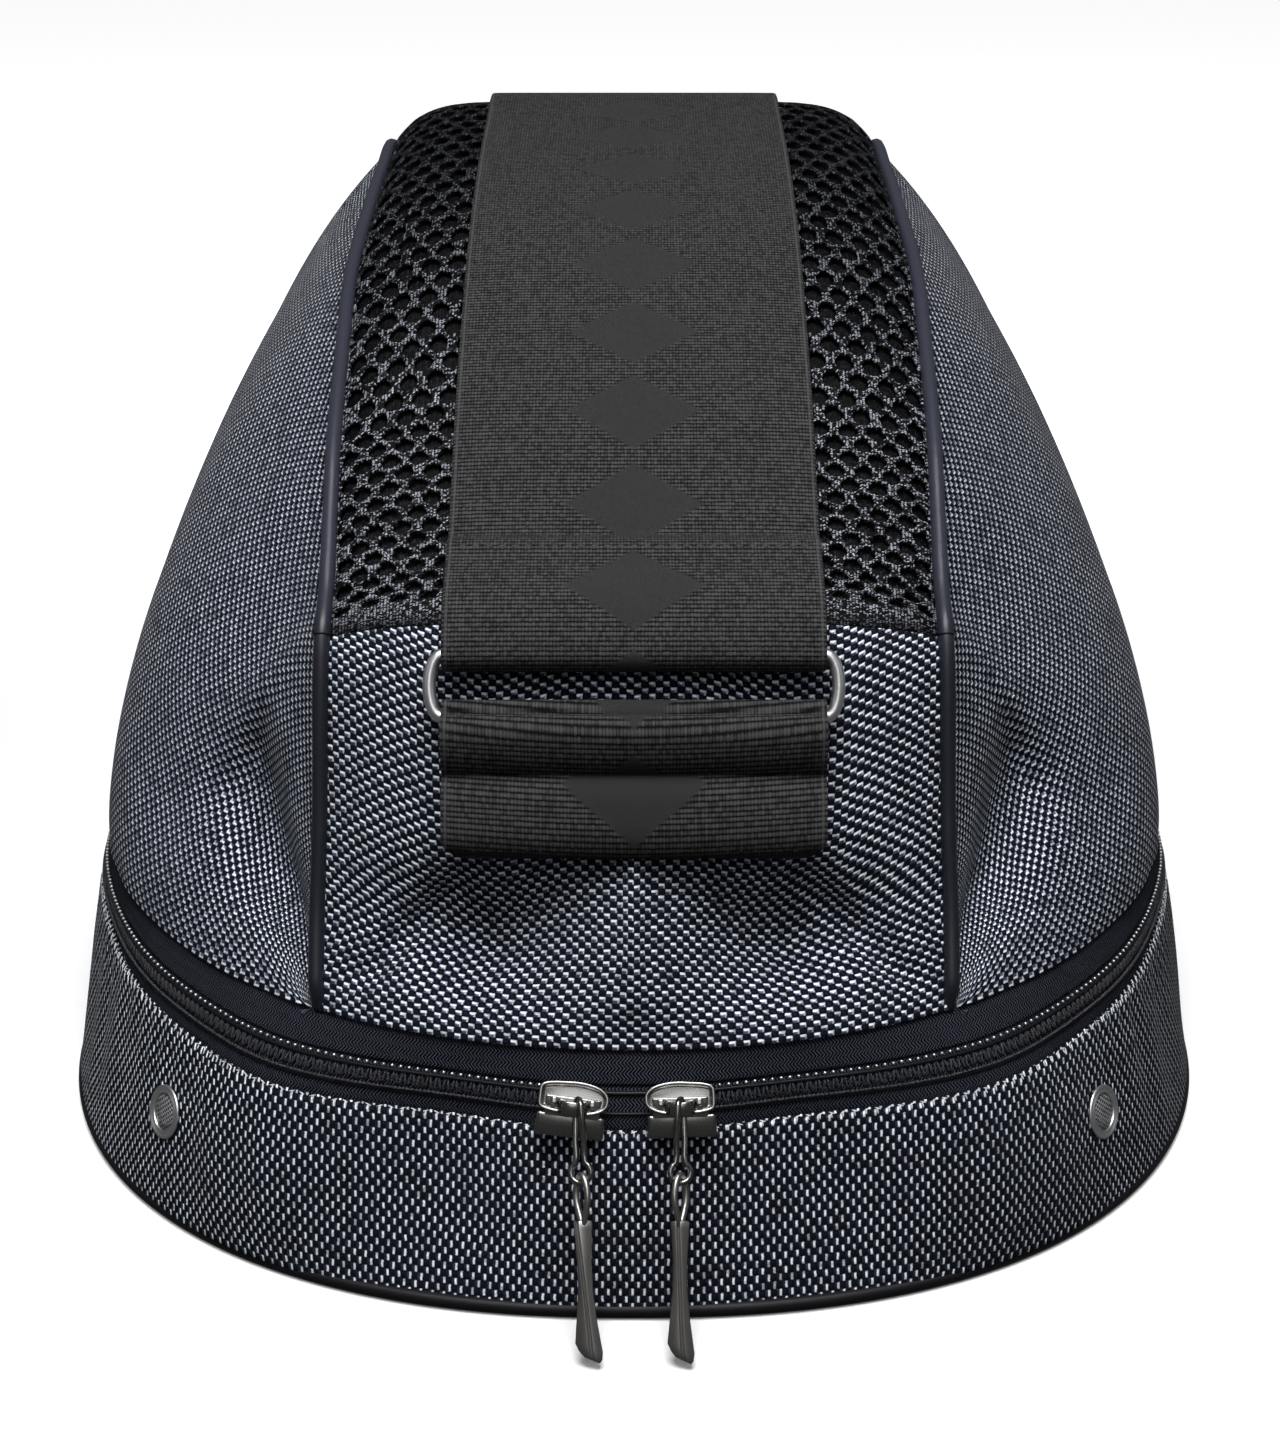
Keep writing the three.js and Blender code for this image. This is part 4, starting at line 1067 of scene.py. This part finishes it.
for word, near, far, tuck_near, tuck_far, area in (
    ("upper", -0.0002, HEADS_BELOW - 0.0005, 0.0004, 0.0, 0.0070),
    ("lower", HEADS_BELOW - 0.0003, ZIP_WIDTH + 0.0002, 0.0009, 0.0004, 0.0085),
):
    surface = tape_surface(near, far, tuck_near, tuck_far)
    piece = cloth_sheet(f"tape_{word}", 480, 8, surface, tape_finish, TAPE, middle=(0.5, 0.0), closed=True)
    hand_over(piece, f"zip_tape_{word}")


# Zip coil: small heads in a dark groove, in bright metal as painted glints, over a narrow ribbed band of
# upright threads.
# The threads tie the coil to its tape, and a cord of looped thread closes the band below.
COIL_PITCH = 0.00176
THREAD_PITCH = 0.00088
HEAD = (0.00038, 0.00038, 0.00038)
RIB = (0.00027, 0.00145, 0.00045)
KNOT = (0.00052, 0.00034, 0.00042)
OPEN_FROM = -0.0100
OPEN_TO = 0.0075


def glossy_black(wire):
    cloud = wire.noise(300.0, 2.0)
    return {
        "Base Color": cloud.shade((0.003, 0.003, 0.004), (0.012, 0.012, 0.015)),
        "Roughness": cloud.between(0.25, 0.4),
        "Specular IOR Level": 0.15,
    }


def looped_thread(wire):
    grain = wire.noise(1400.0, 3.0)
    return {
        "Base Color": grain.step(0.48, 0.68).shade((0.0006, 0.0006, 0.001), (0.18, 0.184, 0.21)),
        "Roughness": 0.6,
        "Specular IOR Level": 0.15,
    }


def zip_line(distance_below, steps, out):
    """Points round the bag at a distance below the hem of the lid."""
    angles = [mix(-math.pi, math.pi, i / steps) for i in range(steps)]
    return [wall_point(angle, below(angle, distance_below), out) for angle in angles]


def spaced(points, pitch):
    """Points at an even pitch along a closed line, each with its direction."""
    loop = points + points[:1]
    total = running(loop)[-1]
    count = round(total / pitch)
    made = []
    run, want = 0.0, 0.0
    for a, b in zip(loop, loop[1:]):
        reach = (b - a).length
        while want < run + reach - 1e-9 and len(made) < count:
            made.append((a.lerp(b, (want - run) / reach), (b - a).normalized()))
            want += total / count
        run += reach
    return made


def bead_row(shape, size, distance, pitch, out, slant=0.0, parted=True):
    """Adds a row of small round bodies along the zip, leaning from side to side by turns.
    A parted row leaves out the short stretch between the two sliders, where the tapes lie open."""
    bead = bmesh.new()
    bmesh.ops.create_uvsphere(bead, u_segments=6, v_segments=5, radius=1.0)
    bmesh.ops.scale(bead, verts=bead.verts[:], vec=size)
    bead_mesh = bpy.data.meshes.new("bead")
    bead.to_mesh(bead_mesh)
    bead.free()
    places = spaced(zip_line(distance, 900, out), pitch)
    lower_places = spaced(zip_line(distance + 0.001, 900, out), pitch)
    for number, ((place, ahead), (lower, _)) in enumerate(zip(places, lower_places)):
        if parted and place.y < 0 and OPEN_FROM < place.x < OPEN_TO:
            continue
        down = (lower - place).normalized()
        down = (down - ahead * down.dot(ahead)).normalized()
        turn = Matrix((ahead, down, ahead.cross(down))).transposed().to_4x4()
        lean = Matrix.Rotation(slant * (1 if number % 2 else -1), 4, "Z")
        stand = Matrix.Translation(place) @ turn @ lean
        bead_mesh.transform(stand)
        shape.from_mesh(bead_mesh)
        bead_mesh.transform(stand.inverted())
    bpy.data.meshes.remove(bead_mesh)


coil_finish = finish_of("zip_coil", glossy_black)
thread_loops = finish_of("looped_thread", looped_thread)
FOLD_YARN = (0.00017, 0.00065, 0.00018)
FOLD_THREAD = (0.00075, 0.00014, 0.00016)
# Painted highlight: the yarns along the band's fold are near white, painted glints where the weave turns
# over.
fold_glint_finish = finish_of("fold_glint_yarn", satin((0.55, 0.56, 0.60), (0.85, 0.86, 0.90), 0.5, 0.3))
# Painted highlight: the coil heads get a bright metal finish so each shows as a glint.
head_glint_finish = finish_of("coil_head_glints", bright_metal((0.85, 0.86, 0.88), 0.35))
shape = bmesh.new()
bead_row(shape, RIB, 0.0099, THREAD_PITCH, -TAPE_SET_IN + 0.0004, 0.16)
bead_row(shape, KNOT, 0.0116, THREAD_PITCH, -TAPE_SET_IN + 0.0006)
coil = new_piece("coil", shape, thread_loops)
hand_over(coil, "zip_coil")
shape = bmesh.new()
bead_row(shape, FOLD_YARN, ZIP_WIDTH + 0.00045, YARN_DOWN * 2, -0.0002, 0.12, False)
bead_row(shape, FOLD_THREAD, ZIP_WIDTH + 0.0001, YARN_DOWN * 2, -0.0006, 0.35, False)
hand_over(new_piece("band_fold_yarn_glints", shape, fold_glint_finish), None)
shape = bmesh.new()
bead_row(shape, HEAD, HEADS_BELOW, COIL_PITCH, -TAPE_SET_IN + 0.0004)
hand_over(new_piece("coil_head_glints", shape, head_glint_finish), None)
for word, distance, thick in (("upper", 0.0083, 0.0008), ("lower", 0.0122, 0.0006)):
    line = zip_line(distance, 600, -TAPE_SET_IN + 0.0003)
    cord = tube(f"coil_cord_{word}", line, thick, coil_finish, closed=True, sides=8)
    hand_over(cord, None)


# Sliders: two cast gunmetal sliders that meet in the middle of the front, nose to nose.
# Each has a shield-shaped top plate, a deep lower flange and a bridge for its pull.
SLIDER_WIDTH = 0.010
SLIDER_PLATE = 0.0011
PLATE_LONG = 0.0136
PLATE_TALL = 0.0066
PLATE_TILT = math.radians(15)
FLANGE = (0.0134, 0.0018, 0.0046)
FOOT_PLATE = (0.0118, 0.0036, 0.0009)
SLIDER_SAG = 0.0008
BRIDGE_RISE = 0.0029
BRIDGE_THICK = 0.0013
BRIDGE_WIDTH = 0.0028
COIL = 0.0036
PLATE_OUT = COIL / 2 + 0.0003
PIVOT_OUT = PLATE_OUT + 0.0016 + BRIDGE_RISE + BRIDGE_THICK / 2
SLIDERS = (("left", -1, -0.0118), ("right", 1, 0.0089))
SLIDER_ROLL = {"left": 7, "right": -2}
gunmetal = finish_of("gunmetal", bright_metal((0.25, 0.248, 0.242), 0.22))
zip_place = wall_point(0, below(0, COIL_BELOW))
wall_lean = math.atan2(wall_point(0, 1).y - wall_point(0, 0).y, rim_height(0))


def slider_frame(x):
    """x runs along the zip, z up the wall and -y outward."""
    place = Matrix.Translation((x, zip_place.y, zip_place.z - SLIDER_SAG))
    return place @ Matrix.Rotation(-wall_lean, 4, "X")


def bevelled(shape, width, segments=3):
    sharp = [e for e in shape.edges if e.calc_face_angle(0) > math.radians(35)]
    bmesh.ops.bevel(shape, geom=sharp, offset=width, segments=segments, affect="EDGES",
                    profile=0.5, material=-1, clamp_overlap=True)


def slider_plate(nose):
    """A dished plate, square at its tail and rounded at its nose, tilted up from the zip."""
    shape = bmesh.new()
    bmesh.ops.create_circle(shape, cap_ends=True, segments=32, radius=1.0)
    for vertex in shape.verts:
        x, z = vertex.co.x * nose, vertex.co.y
        x = math.copysign(abs(x) ** (0.9 if x > 0 else 0.35), x)
        z = math.copysign(abs(z) ** (0.8 if x > 0 else 0.4), z)
        tail = 1 - 0.14 * ease(-x, 0, 1)
        vertex.co = (nose * x * PLATE_LONG / 2, 0.0, (z * tail - 1) * PLATE_TALL / 2)
    raised = bmesh.ops.extrude_face_region(shape, geom=shape.faces[:])["geom"]
    bmesh.ops.translate(shape, verts=points_of(raised), vec=(0, -SLIDER_PLATE, 0))
    bmesh.ops.recalc_face_normals(shape, faces=shape.faces[:])
    front = [f for f in shape.faces if f.normal.y < -0.9]
    bmesh.ops.inset_region(shape, faces=front, thickness=0.0006, depth=0.0)
    bmesh.ops.inset_region(shape, faces=front, thickness=0.0003, depth=-0.0005)
    bevelled(shape, 0.0002, 2)
    for off in (-0.0037, 0.0037):
        join_box(shape, (0.0014, 0.0010, 0.0017), (off, 0.0003 - SLIDER_PLATE, -PLATE_TALL * 0.62), 0.0004)
    place = Matrix.Translation((0, -PLATE_OUT, SLIDER_WIDTH / 2)) @ Matrix.Rotation(-PLATE_TILT, 4, "X")
    bmesh.ops.transform(shape, matrix=place, verts=shape.verts[:])
    return shape


def join_box(shape, size, place, width):
    """Adds a bevelled block of a size at a place."""
    block = bmesh.new()
    bmesh.ops.create_cube(block, size=1.0, matrix=Matrix.Translation(place) @ Matrix.Diagonal((*size, 1.0)))
    bevelled(block, width)
    add_shape(shape, block)


def add_shape(shape, other):
    mesh = bpy.data.meshes.new("part")
    other.to_mesh(mesh)
    other.free()
    shape.from_mesh(mesh)
    bpy.data.meshes.remove(mesh)


def arch(points, width, thick):
    """A bent bar of a width along z that follows points in the x and y plane."""
    shape = bmesh.new()
    top = [shape.verts.new((x, y, -width / 2)) for x, y in points]
    edges = [shape.edges.new((a, b)) for a, b in zip(top, top[1:])]
    faces = bmesh.ops.extrude_edge_only(shape, edges=edges)["geom"]
    bmesh.ops.translate(shape, verts=points_of(faces), vec=(0, 0, width))
    bmesh.ops.recalc_face_normals(shape, faces=shape.faces[:])
    bmesh.ops.solidify(shape, geom=shape.faces[:], thickness=thick)
    bmesh.ops.recalc_face_normals(shape, faces=shape.faces[:])
    bevelled(shape, thick * 0.28, 2)
    return shape


for word, side, x in SLIDERS:
    nose = -side
    shape = slider_plate(nose)
    lip = -PLATE_OUT - PLATE_TALL * math.sin(PLATE_TILT)
    shelf = SLIDER_WIDTH / 2 - PLATE_TALL * math.cos(PLATE_TILT)
    core = (PLATE_LONG * 0.8, 0.0024, SLIDER_WIDTH * 0.7)
    join_box(shape, core, (0, -PLATE_OUT - 0.0008, -SLIDER_WIDTH * 0.12), 0.0004)
    join_box(shape, FLANGE, (-nose * 0.0002, lip + 0.0006, shelf - FLANGE[2] / 2 + 0.0004), 0.0007)
    join_box(shape, FOOT_PLATE, (-nose * 0.0002, lip + 0.0022, shelf - FLANGE[2] + 0.0008), 0.0003)
    hoop = [
        (-0.0030, lip + 0.0012), (-0.0030, lip - 0.0004), (-0.0021, -PIVOT_OUT),
        (-0.0008, -PIVOT_OUT - 0.0003), (0.0008, -PIVOT_OUT - 0.0003),
        (0.0021, -PIVOT_OUT), (0.0030, lip - 0.0004), (0.0030, lip + 0.0012),
    ]
    bridge = arch(hoop, BRIDGE_WIDTH, BRIDGE_THICK * 0.9)
    bmesh.ops.translate(bridge, verts=bridge.verts[:], vec=(0, 0, 0.0004))
    add_shape(shape, bridge)
    roll = Matrix.Rotation(math.radians(SLIDER_ROLL[word]), 4, "Y")
    bmesh.ops.transform(shape, matrix=slider_frame(x) @ roll, verts=shape.verts[:])
    piece = new_piece(f"zip_slider_{word}", shape, gunmetal)
    hand_over(piece, f"slider_{word}")


# Pulls: a long wire bail on each bridge, pinched to an eye, and a cast drop that hangs from it.
# The drop has a ring at its top and a ridged blade that widens down to a slanted tip.
BAIL_LENGTH = 0.017
BAIL_WIDTH = 0.0046
BAIL_WIRE = 0.0012
LOOP_LENGTH = 0.010
LOOP_WIDTH = 0.005
LOOP_WIRE = 0.0013
TAB_LENGTH = 0.0267
TAB_BLADE = 0.0252
EYE_WIDTH = 0.0040
TAB_WIDTH = 0.0058
TAB_THICK = 0.002
BAIL_TOP = BRIDGE_WIDTH / 2 + 0.0003 + BAIL_WIRE / 2
BAIL_FOOT = BAIL_TOP - BAIL_LENGTH + BAIL_WIRE
LOOP_TOP = BAIL_FOOT + BAIL_WIRE / 2 + 0.0003 + LOOP_WIRE / 2
BLADE_TOP = LOOP_TOP - LOOP_LENGTH + LOOP_WIRE
cast_grey = finish_of("cast_grey", bright_metal((0.34, 0.333, 0.322), 0.34))


def pull_frame(x, shift, swing):
    """The place of a pull: z runs up its length, from a pivot on the bridge."""
    place = slider_frame(x + shift) @ Vector((0, -PIVOT_OUT, 0))
    drop = min((place.z - TAB_THICK / 2) / (TAB_LENGTH - BLADE_TOP), 1.0)
    lean = Matrix.Rotation(-max(math.acos(drop), wall_lean), 4, "X")
    return Matrix.Translation(place) @ Matrix.Rotation(math.radians(swing), 4, "Y") @ lean


def bail_points(place, side):
    """A wire that hooks over the bridge, is pinched together and opens again into an eye."""
    eye = EYE_WIDTH / 2
    pinch = BAIL_FOOT + eye * 2.1
    half = (BAIL_WIDTH - BAIL_WIRE) / 2
    made = []
    for i in range(9):
        swing = math.pi * i / 8
        made.append((half * math.cos(swing), BAIL_TOP - half + half * math.sin(swing)))
    for share in (0.35, 0.65, 0.9):
        made.append((-mix(half, BAIL_WIRE * 0.56, share ** 0.7), mix(BAIL_TOP - half, pinch, share)))
    for i in range(15):
        swing = math.radians(mix(118, 422, i / 14))
        made.append((eye * math.cos(swing), BAIL_FOOT + eye + eye * math.sin(swing)))
    for share in (0.9, 0.65, 0.35):
        made.append((mix(half, BAIL_WIRE * 0.56, share ** 0.7), mix(BAIL_TOP - half, pinch, share)))
    points = []
    for off, z in made:
        twist = math.radians(90 - side * mix(20, 78, ease(-z, -BAIL_TOP * 0.2, -pinch)))
        points.append(place @ (Matrix.Rotation(twist, 4, "Z") @ Vector((off, 0, z))))
    return points


def loop_points(place, turn):
    """A long oval ring of wire at the top of the drop."""
    half = (LOOP_WIDTH - LOOP_WIRE) / 2
    foot = BLADE_TOP - 0.0006
    made = []
    for i in range(25):
        swing = math.tau * i / 25
        z = mix(foot, LOOP_TOP, (math.sin(swing) + 1) / 2)
        off = half * math.cos(swing) * mix(0.45, 1.0, ease(z, foot, mix(foot, LOOP_TOP, 0.6)))
        made.append(place @ (Matrix.Rotation(turn, 4, "Z") @ Vector((off, 0, z))))
    return made


BLADE_ROWS = (
    {"down": -0.01, "wide": 0.30, "thick": 0.7, "shift": 0.0},
    {"down": 0.00, "wide": 0.60, "thick": 0.9, "shift": 0.0},
    {"down": 0.05, "wide": 0.57, "thick": 1.0, "shift": 0.0},
    {"down": 0.30, "wide": 0.46, "thick": 1.0, "shift": 0.0},
    {"down": 0.50, "wide": 0.48, "thick": 1.0, "shift": 0.0},
    {"down": 0.70, "wide": 0.64, "thick": 0.95, "shift": 0.0},
    {"down": 0.92, "wide": 0.88, "thick": 0.8, "shift": 0.04},
    {"down": 0.97, "wide": 0.74, "thick": 0.7, "shift": 0.08},
    {"down": 1.00, "wide": 0.50, "thick": 0.5, "shift": 0.12},
)
BLADE_SLANT = 0.45
GROOVE_HALF = 0.0004
PULLS = (
    {"word": "left", "side": -1, "x": SLIDERS[0][2], "shift": 0.0012, "swing": -3,
     "groove_top": -0.7, "groove_tip": 0.15},
    {"word": "right", "side": 1, "x": SLIDERS[1][2], "shift": 0.0, "swing": 0.5,
     "groove_top": -0.25, "groove_tip": 0.1},
)


def blade_shape(groove_top, groove_tip):
    """A flared bar with a groove down its front and a tip cut on a slant."""
    blade = bmesh.new()
    loops = []
    for row in BLADE_ROWS:
        down = row["down"]
        half = row["wide"] * TAB_WIDTH / 2
        thick = row["thick"] * TAB_THICK / 2
        groove = half * mix(groove_top, groove_tip, ease(down, 0.0, 0.8))
        left, right = max(groove - GROOVE_HALF, -half * 0.95), groove + GROOVE_HALF
        outline = [(-half, -thick * 0.3), (left, -thick), (groove, -thick * 0.2), (right, -thick),
                   (half, -thick * 0.3), (half, thick * 0.3), (0, thick * 0.7), (-half, thick * 0.3)]
        knots = []
        for x, y in outline:
            x += row["shift"] * TAB_WIDTH
            slant = BLADE_SLANT * x * ease(down, 0.7, 1.0)
            knots.append(blade.verts.new((x, y, BLADE_TOP - down * TAB_BLADE - slant)))
        loops.append([blade.edges.new((a, b)) for a, b in zip(knots, knots[1:] + knots[:1])])
    for upper, lower in zip(loops, loops[1:]):
        bmesh.ops.bridge_loops(blade, edges=upper + lower)
    bmesh.ops.holes_fill(blade, edges=[e for e in blade.edges if e.is_boundary])
    bmesh.ops.recalc_face_normals(blade, faces=blade.faces[:])
    bevelled(blade, 0.00012, 2)
    return blade


for row in PULLS:
    word = row["word"]
    place = pull_frame(row["x"], row["shift"], row["swing"])
    bail = tube(f"pull_wire_{word}", bail_points(place, row["side"]), BAIL_WIRE, gunmetal, closed=True)
    hand_over(bail, f"pull_bail_{word}")
    ring = tube("ring", loop_points(place, math.radians(row["side"] * 50)), LOOP_WIRE, gunmetal, closed=True)
    shape = bmesh.new()
    shape.from_mesh(ring.data)
    bpy.data.objects.remove(ring)
    blade = blade_shape(row["groove_top"], row["groove_tip"])
    bmesh.ops.transform(blade, matrix=place, verts=blade.verts[:])
    add_shape(shape, blade)
    drop = new_piece(f"pull_drop_{word}", shape, cast_grey)
    hand_over(drop, f"pull_tab_{word}")


# Strap: a wide charcoal elastic, folded round the upper bar of the ring and sewn to itself,
# then laid back over the lid to its stitched end on the back panel.
STRAP_WIDTH = 0.0745
STRAP = 0.0019
STRAP_FOLLOW = 0.5
LAY = 0.0003 + STRAP / 2
RING_LENGTH = 0.082
RING_END = 0.0024
RING_HEIGHT = 0.0145
RING_WIRE = 0.0026
RING_BELOW_SEAM = 0.007
LAP_LENGTH = 0.024
STRAP_END = 0.060
BAR_SPACING = RING_HEIGHT - RING_WIRE
BAR_LIFT = LAY + STRAP / 2 + 0.0003 + RING_WIRE / 2
WRAP = RING_WIRE / 2 + 0.0003 + STRAP / 2


def elastic(shade_lines):
    """Fine cross ribs of grainy yarn, a thin line inside each edge and smooth diamonds down the middle.
    Shade lines are painted shade across it: their distance along it, their half width and their depth."""

    def recipe(wire):
        across, along = wire.cloth_place()
        grain = wire.noise(1500.0, 3.0).step(0.38, 0.68)
        sway = wire.noise(260.0, 1.0) - 0.5
        rib = along / 0.00098 + sway * 0.5
        knot = across / 0.00068 + sway * 0.5
        chance = wire.chance(knot.math("FLOOR"), rib.math("FLOOR"))
        rib = rib.math("FRACT").mound(2.0)
        knot = knot.math("FRACT").mound(2.0)
        inner = across.math("ABSOLUTE")
        diamond = (inner / 0.0165 + (along / 0.0125).math("PINGPONG", 1.0)).step(0.9, 0.8)
        ribbed = rib * knot.between(0.45, 1.0) * chance.between(0.6, 1.1)
        weave = diamond.between(ribbed, grain * 0.5 + 0.3)
        edge = STRAP_WIDTH / 2
        line = inner.step(edge - 0.0013, edge - 0.0010) * inner.step(edge - 0.0004, edge - 0.0007)
        light = weave.step(0.1, 0.9) * grain.between(0.5, 1.0)
        # Painted shade: each shade line darkens the elastic across its width.
        for place, half, depth in shade_lines:
            light = light * (1 - (along - place).math("ABSOLUTE").step(half, half * 0.15) * depth)
        colour = light.shade((0.0014, 0.0014, 0.0016), (0.088, 0.088, 0.091))
        return {
            "Base Color": (line * 0.5).shade(colour, (0.075, 0.075, 0.077)),
            "Roughness": 0.75,
            "Specular IOR Level": 0.1,
            "Normal": wire.bump(weave + line * 0.8, 0.6, 0.00022),
        }

    return recipe


elastic_finish = finish_of("charcoal_elastic", elastic(()))

STATIONS = 2000
stations = [i / STATIONS for i in range(STATIONS + 1)]
run_marks = running([middle(station) for station in stations])
strip_length = run_marks[-1]


def station_at(distance):
    """The station of the strip at a distance along its middle from the front hem."""
    low, high = 0, len(run_marks) - 1
    while high - low > 1:
        half = (low + high) // 2
        if run_marks[half] < distance:
            low = half
        else:
            high = half
    share = (distance - run_marks[low]) / (run_marks[high] - run_marks[low])
    return mix(stations[low], stations[high], share)


seam_at = run_marks[round(SEAM_FRONT / LAST * STATIONS)]
top_bar_at = seam_at - RING_BELOW_SEAM
foot_bar_at = top_bar_at - BAR_SPACING


def over_strip(distance, lift):
    return strip_point(station_at(distance), 0, lift)


top_bar = over_strip(top_bar_at, BAR_LIFT)
foot_bar = over_strip(foot_bar_at, BAR_LIFT)
ring_down = (foot_bar - top_bar).normalized()
ring_out = Vector((0, ring_down.z, -ring_down.y))


def wrap(centre, start, stop, steps):
    """Path points round a bar at the middle of the elastic."""
    made = []
    for i in range(steps + 1):
        swing = math.radians(mix(start, stop, i / steps))
        place = centre + ring_out * WRAP * math.cos(swing) + ring_down * WRAP * math.sin(swing)
        made.append((place, 0.0, 0.0))
    return made


def webbing(name, path, columns, rows, half_width, finish):
    """A flat band along path points of place, station and how far it follows the crown below it."""
    knots = [place for place, _, _ in path]
    last = len(path) - 1

    def surface(across, along):
        share = mix(-1, 1, across)
        place = min(along * last, last - 1e-6)
        i = int(place)
        _, station, follow = path[i]
        _, next_station, next_follow = path[i + 1]
        station = mix(station, next_station, place - i)
        follow = mix(follow, next_follow, place - i)
        point = through(knots, along)
        ahead = (through(knots, min(along + 0.001, 1)) - through(knots, max(along - 0.001, 0))).normalized()
        out = Vector((0, -ahead.z, ahead.y))
        drop = follow * crown_drop(station, share * STRAP_WIDTH / STRIP_WIDTH) if follow > 0 else 0.0
        point = point + out * (STRAP / 2 - drop)
        point.x = share * half_width(along)
        return point

    return cloth_sheet(name, columns, rows, surface, finish, STRAP, middle=(0.5, 0.0), folded=True)


path = []
for share in (1, 0.7, 0.4):
    distance = top_bar_at + LAP_LENGTH * share
    path.append((over_strip(distance, LAY), station_at(distance), STRAP_FOLLOW))
path += wrap(top_bar, 205, -15, 9)
for i in range(1, 61):
    far = (strip_length - STRAP_END - top_bar_at) * (i / 60) ** 1.4
    over_bar = BAR_LIFT + WRAP - LAY
    over_lap = STRAP + 0.0003
    down = ease(far, 0, LAP_LENGTH * 0.8)
    off = ease(far, LAP_LENGTH, LAP_LENGTH * 1.12)
    lift = mix(mix(over_bar, over_lap, down), 0, off)
    distance = top_bar_at + far
    path.append((over_strip(distance, LAY + lift), station_at(distance), STRAP_FOLLOW * off))
strap = webbing("elastic_strap", path, 36, 420, lambda along: STRAP_WIDTH / 2, elastic_finish)
hand_over(strap, "strap")


# Anchor: a short length of the same elastic, sewn to the front panel and folded round the lower bar.
# One row of stitches across it draws it into two soft rolls.
ANCHOR_LENGTH = 0.027
ANCHOR_ROLL = 0.0034
ANCHOR_GROOVE = 0.40
ANCHOR_CORNER = 0.006
ANCHOR_STEPS = 30
path = []
for share in (1, 0.75, 0.5, 0.25):
    distance = foot_bar_at - ANCHOR_LENGTH * share
    path.append((over_strip(distance, LAY), station_at(distance), 0.0))
path += wrap(foot_bar, 180, 360, 7)


def anchor_top(share):
    """Lift of the anchor's upper layer at a share of its length below the bar."""
    lobe = share / ANCHOR_GROOVE if share < ANCHOR_GROOVE else (share - ANCHOR_GROOVE) / (1 - ANCHOR_GROOVE)
    settle = mix(BAR_LIFT + WRAP, LAY + STRAP, ease(share, 0, ANCHOR_GROOVE))
    return settle + ANCHOR_ROLL * (1 - abs(2 * lobe - 1) ** 3)


for i in range(1, ANCHOR_STEPS + 1):
    distance = foot_bar_at - ANCHOR_LENGTH * i / ANCHOR_STEPS
    path.append((over_strip(distance, anchor_top(i / ANCHOR_STEPS)), station_at(distance), 0.0))

anchor_runs = running([place for place, _, _ in path])
groove_step = round(ANCHOR_GROOVE * ANCHOR_STEPS) - ANCHOR_STEPS - 1


def anchor_half(along):
    """Half the width of the anchor, whose four corners are rounded."""
    short = max(ANCHOR_CORNER - min(along, 1 - along) * anchor_runs[-1], 0.0)
    return STRAP_WIDTH / 2 - ANCHOR_CORNER + math.sqrt(ANCHOR_CORNER ** 2 - short ** 2)


inside = math.pi * STRAP / 2
# Painted shade in the stitched groove and under the rolled lower edge of the anchor.
anchor_finish = finish_of("charcoal_elastic_anchor", elastic((
    (anchor_runs[groove_step] - inside, 0.0020, 0.7),
    (anchor_runs[-1] - inside, 0.0030, 0.75),
)))
anchor = webbing("elastic_anchor", path, 36, 260, anchor_half, anchor_finish)
hand_over(anchor, "strap_anchor")

STITCH_PITCH = 0.0026
STITCH = (0.00085, 0.00020, 0.00020)


def stitches(name, rows):
    """Rows of short thread stitches across the elastic: distance along the strip, lift and half width."""
    shape = bmesh.new()
    for distance, lift, half_width in rows:
        count = round(half_width * 2 / STITCH_PITCH)
        here, lower = over_strip(distance, lift), over_strip(distance - 0.001, lift)
        for i in range(count):
            place = here.copy()
            place.x = mix(-half_width, half_width, (i + 0.5) / count)
            down = (lower - here).normalized()
            turn = Matrix((Vector((1, 0, 0)), down, Vector((1, 0, 0)).cross(down))).transposed().to_4x4()
            tip = Matrix.Rotation(random.uniform(-0.12, 0.12), 4, "Z")
            stand = Matrix.Translation(place) @ turn @ tip @ Matrix.Diagonal((*STITCH, 1.0))
            bmesh.ops.create_icosphere(shape, subdivisions=1, radius=1.0, matrix=stand)
    hand_over(new_piece(name, shape, elastic_thread), None)


elastic_thread = finish_of("elastic_thread", satin((0.045, 0.045, 0.047), (0.085, 0.085, 0.088), 0.6, 0.15))
groove_at = foot_bar_at - ANCHOR_LENGTH * ANCHOR_GROOVE
stitches("anchor_stitches", (
    (groove_at, anchor_top(ANCHOR_GROOVE) + STRAP / 2 + 0.0001, STRAP_WIDTH / 2 - 0.004),
    (foot_bar_at - ANCHOR_LENGTH * 0.965, anchor_top(0.965) + STRAP / 2 + 0.0001, STRAP_WIDTH / 2 - 0.005),
))
lap_at = top_bar_at + LAP_LENGTH
stitches("lap_stitches", ((lap_at - 0.0012, LAY + STRAP * 1.5 + 0.0004, STRAP_WIDTH / 2 - 0.002),))


# Ring: a flat nickel-plated ring with two long bars that joins the strap and its anchor.
# Its rounded ends stand out past both edges of the elastic.
half = RING_LENGTH / 2 - RING_WIRE / 2 - RING_END
centre = (top_bar + foot_bar) / 2
path = []
for side in (1, -1):
    for i in range(17):
        swing = math.radians(-90 + 180 * i / 16)
        point = centre + ring_down * side * BAR_SPACING / 2 * math.sin(swing)
        point.x = side * (half + RING_END * math.cos(swing))
        path.append(point)
ring = tube("strap_bar_ring", path, RING_WIRE, nickel, closed=True, sides=20)
hand_over(ring, "strap_ring")
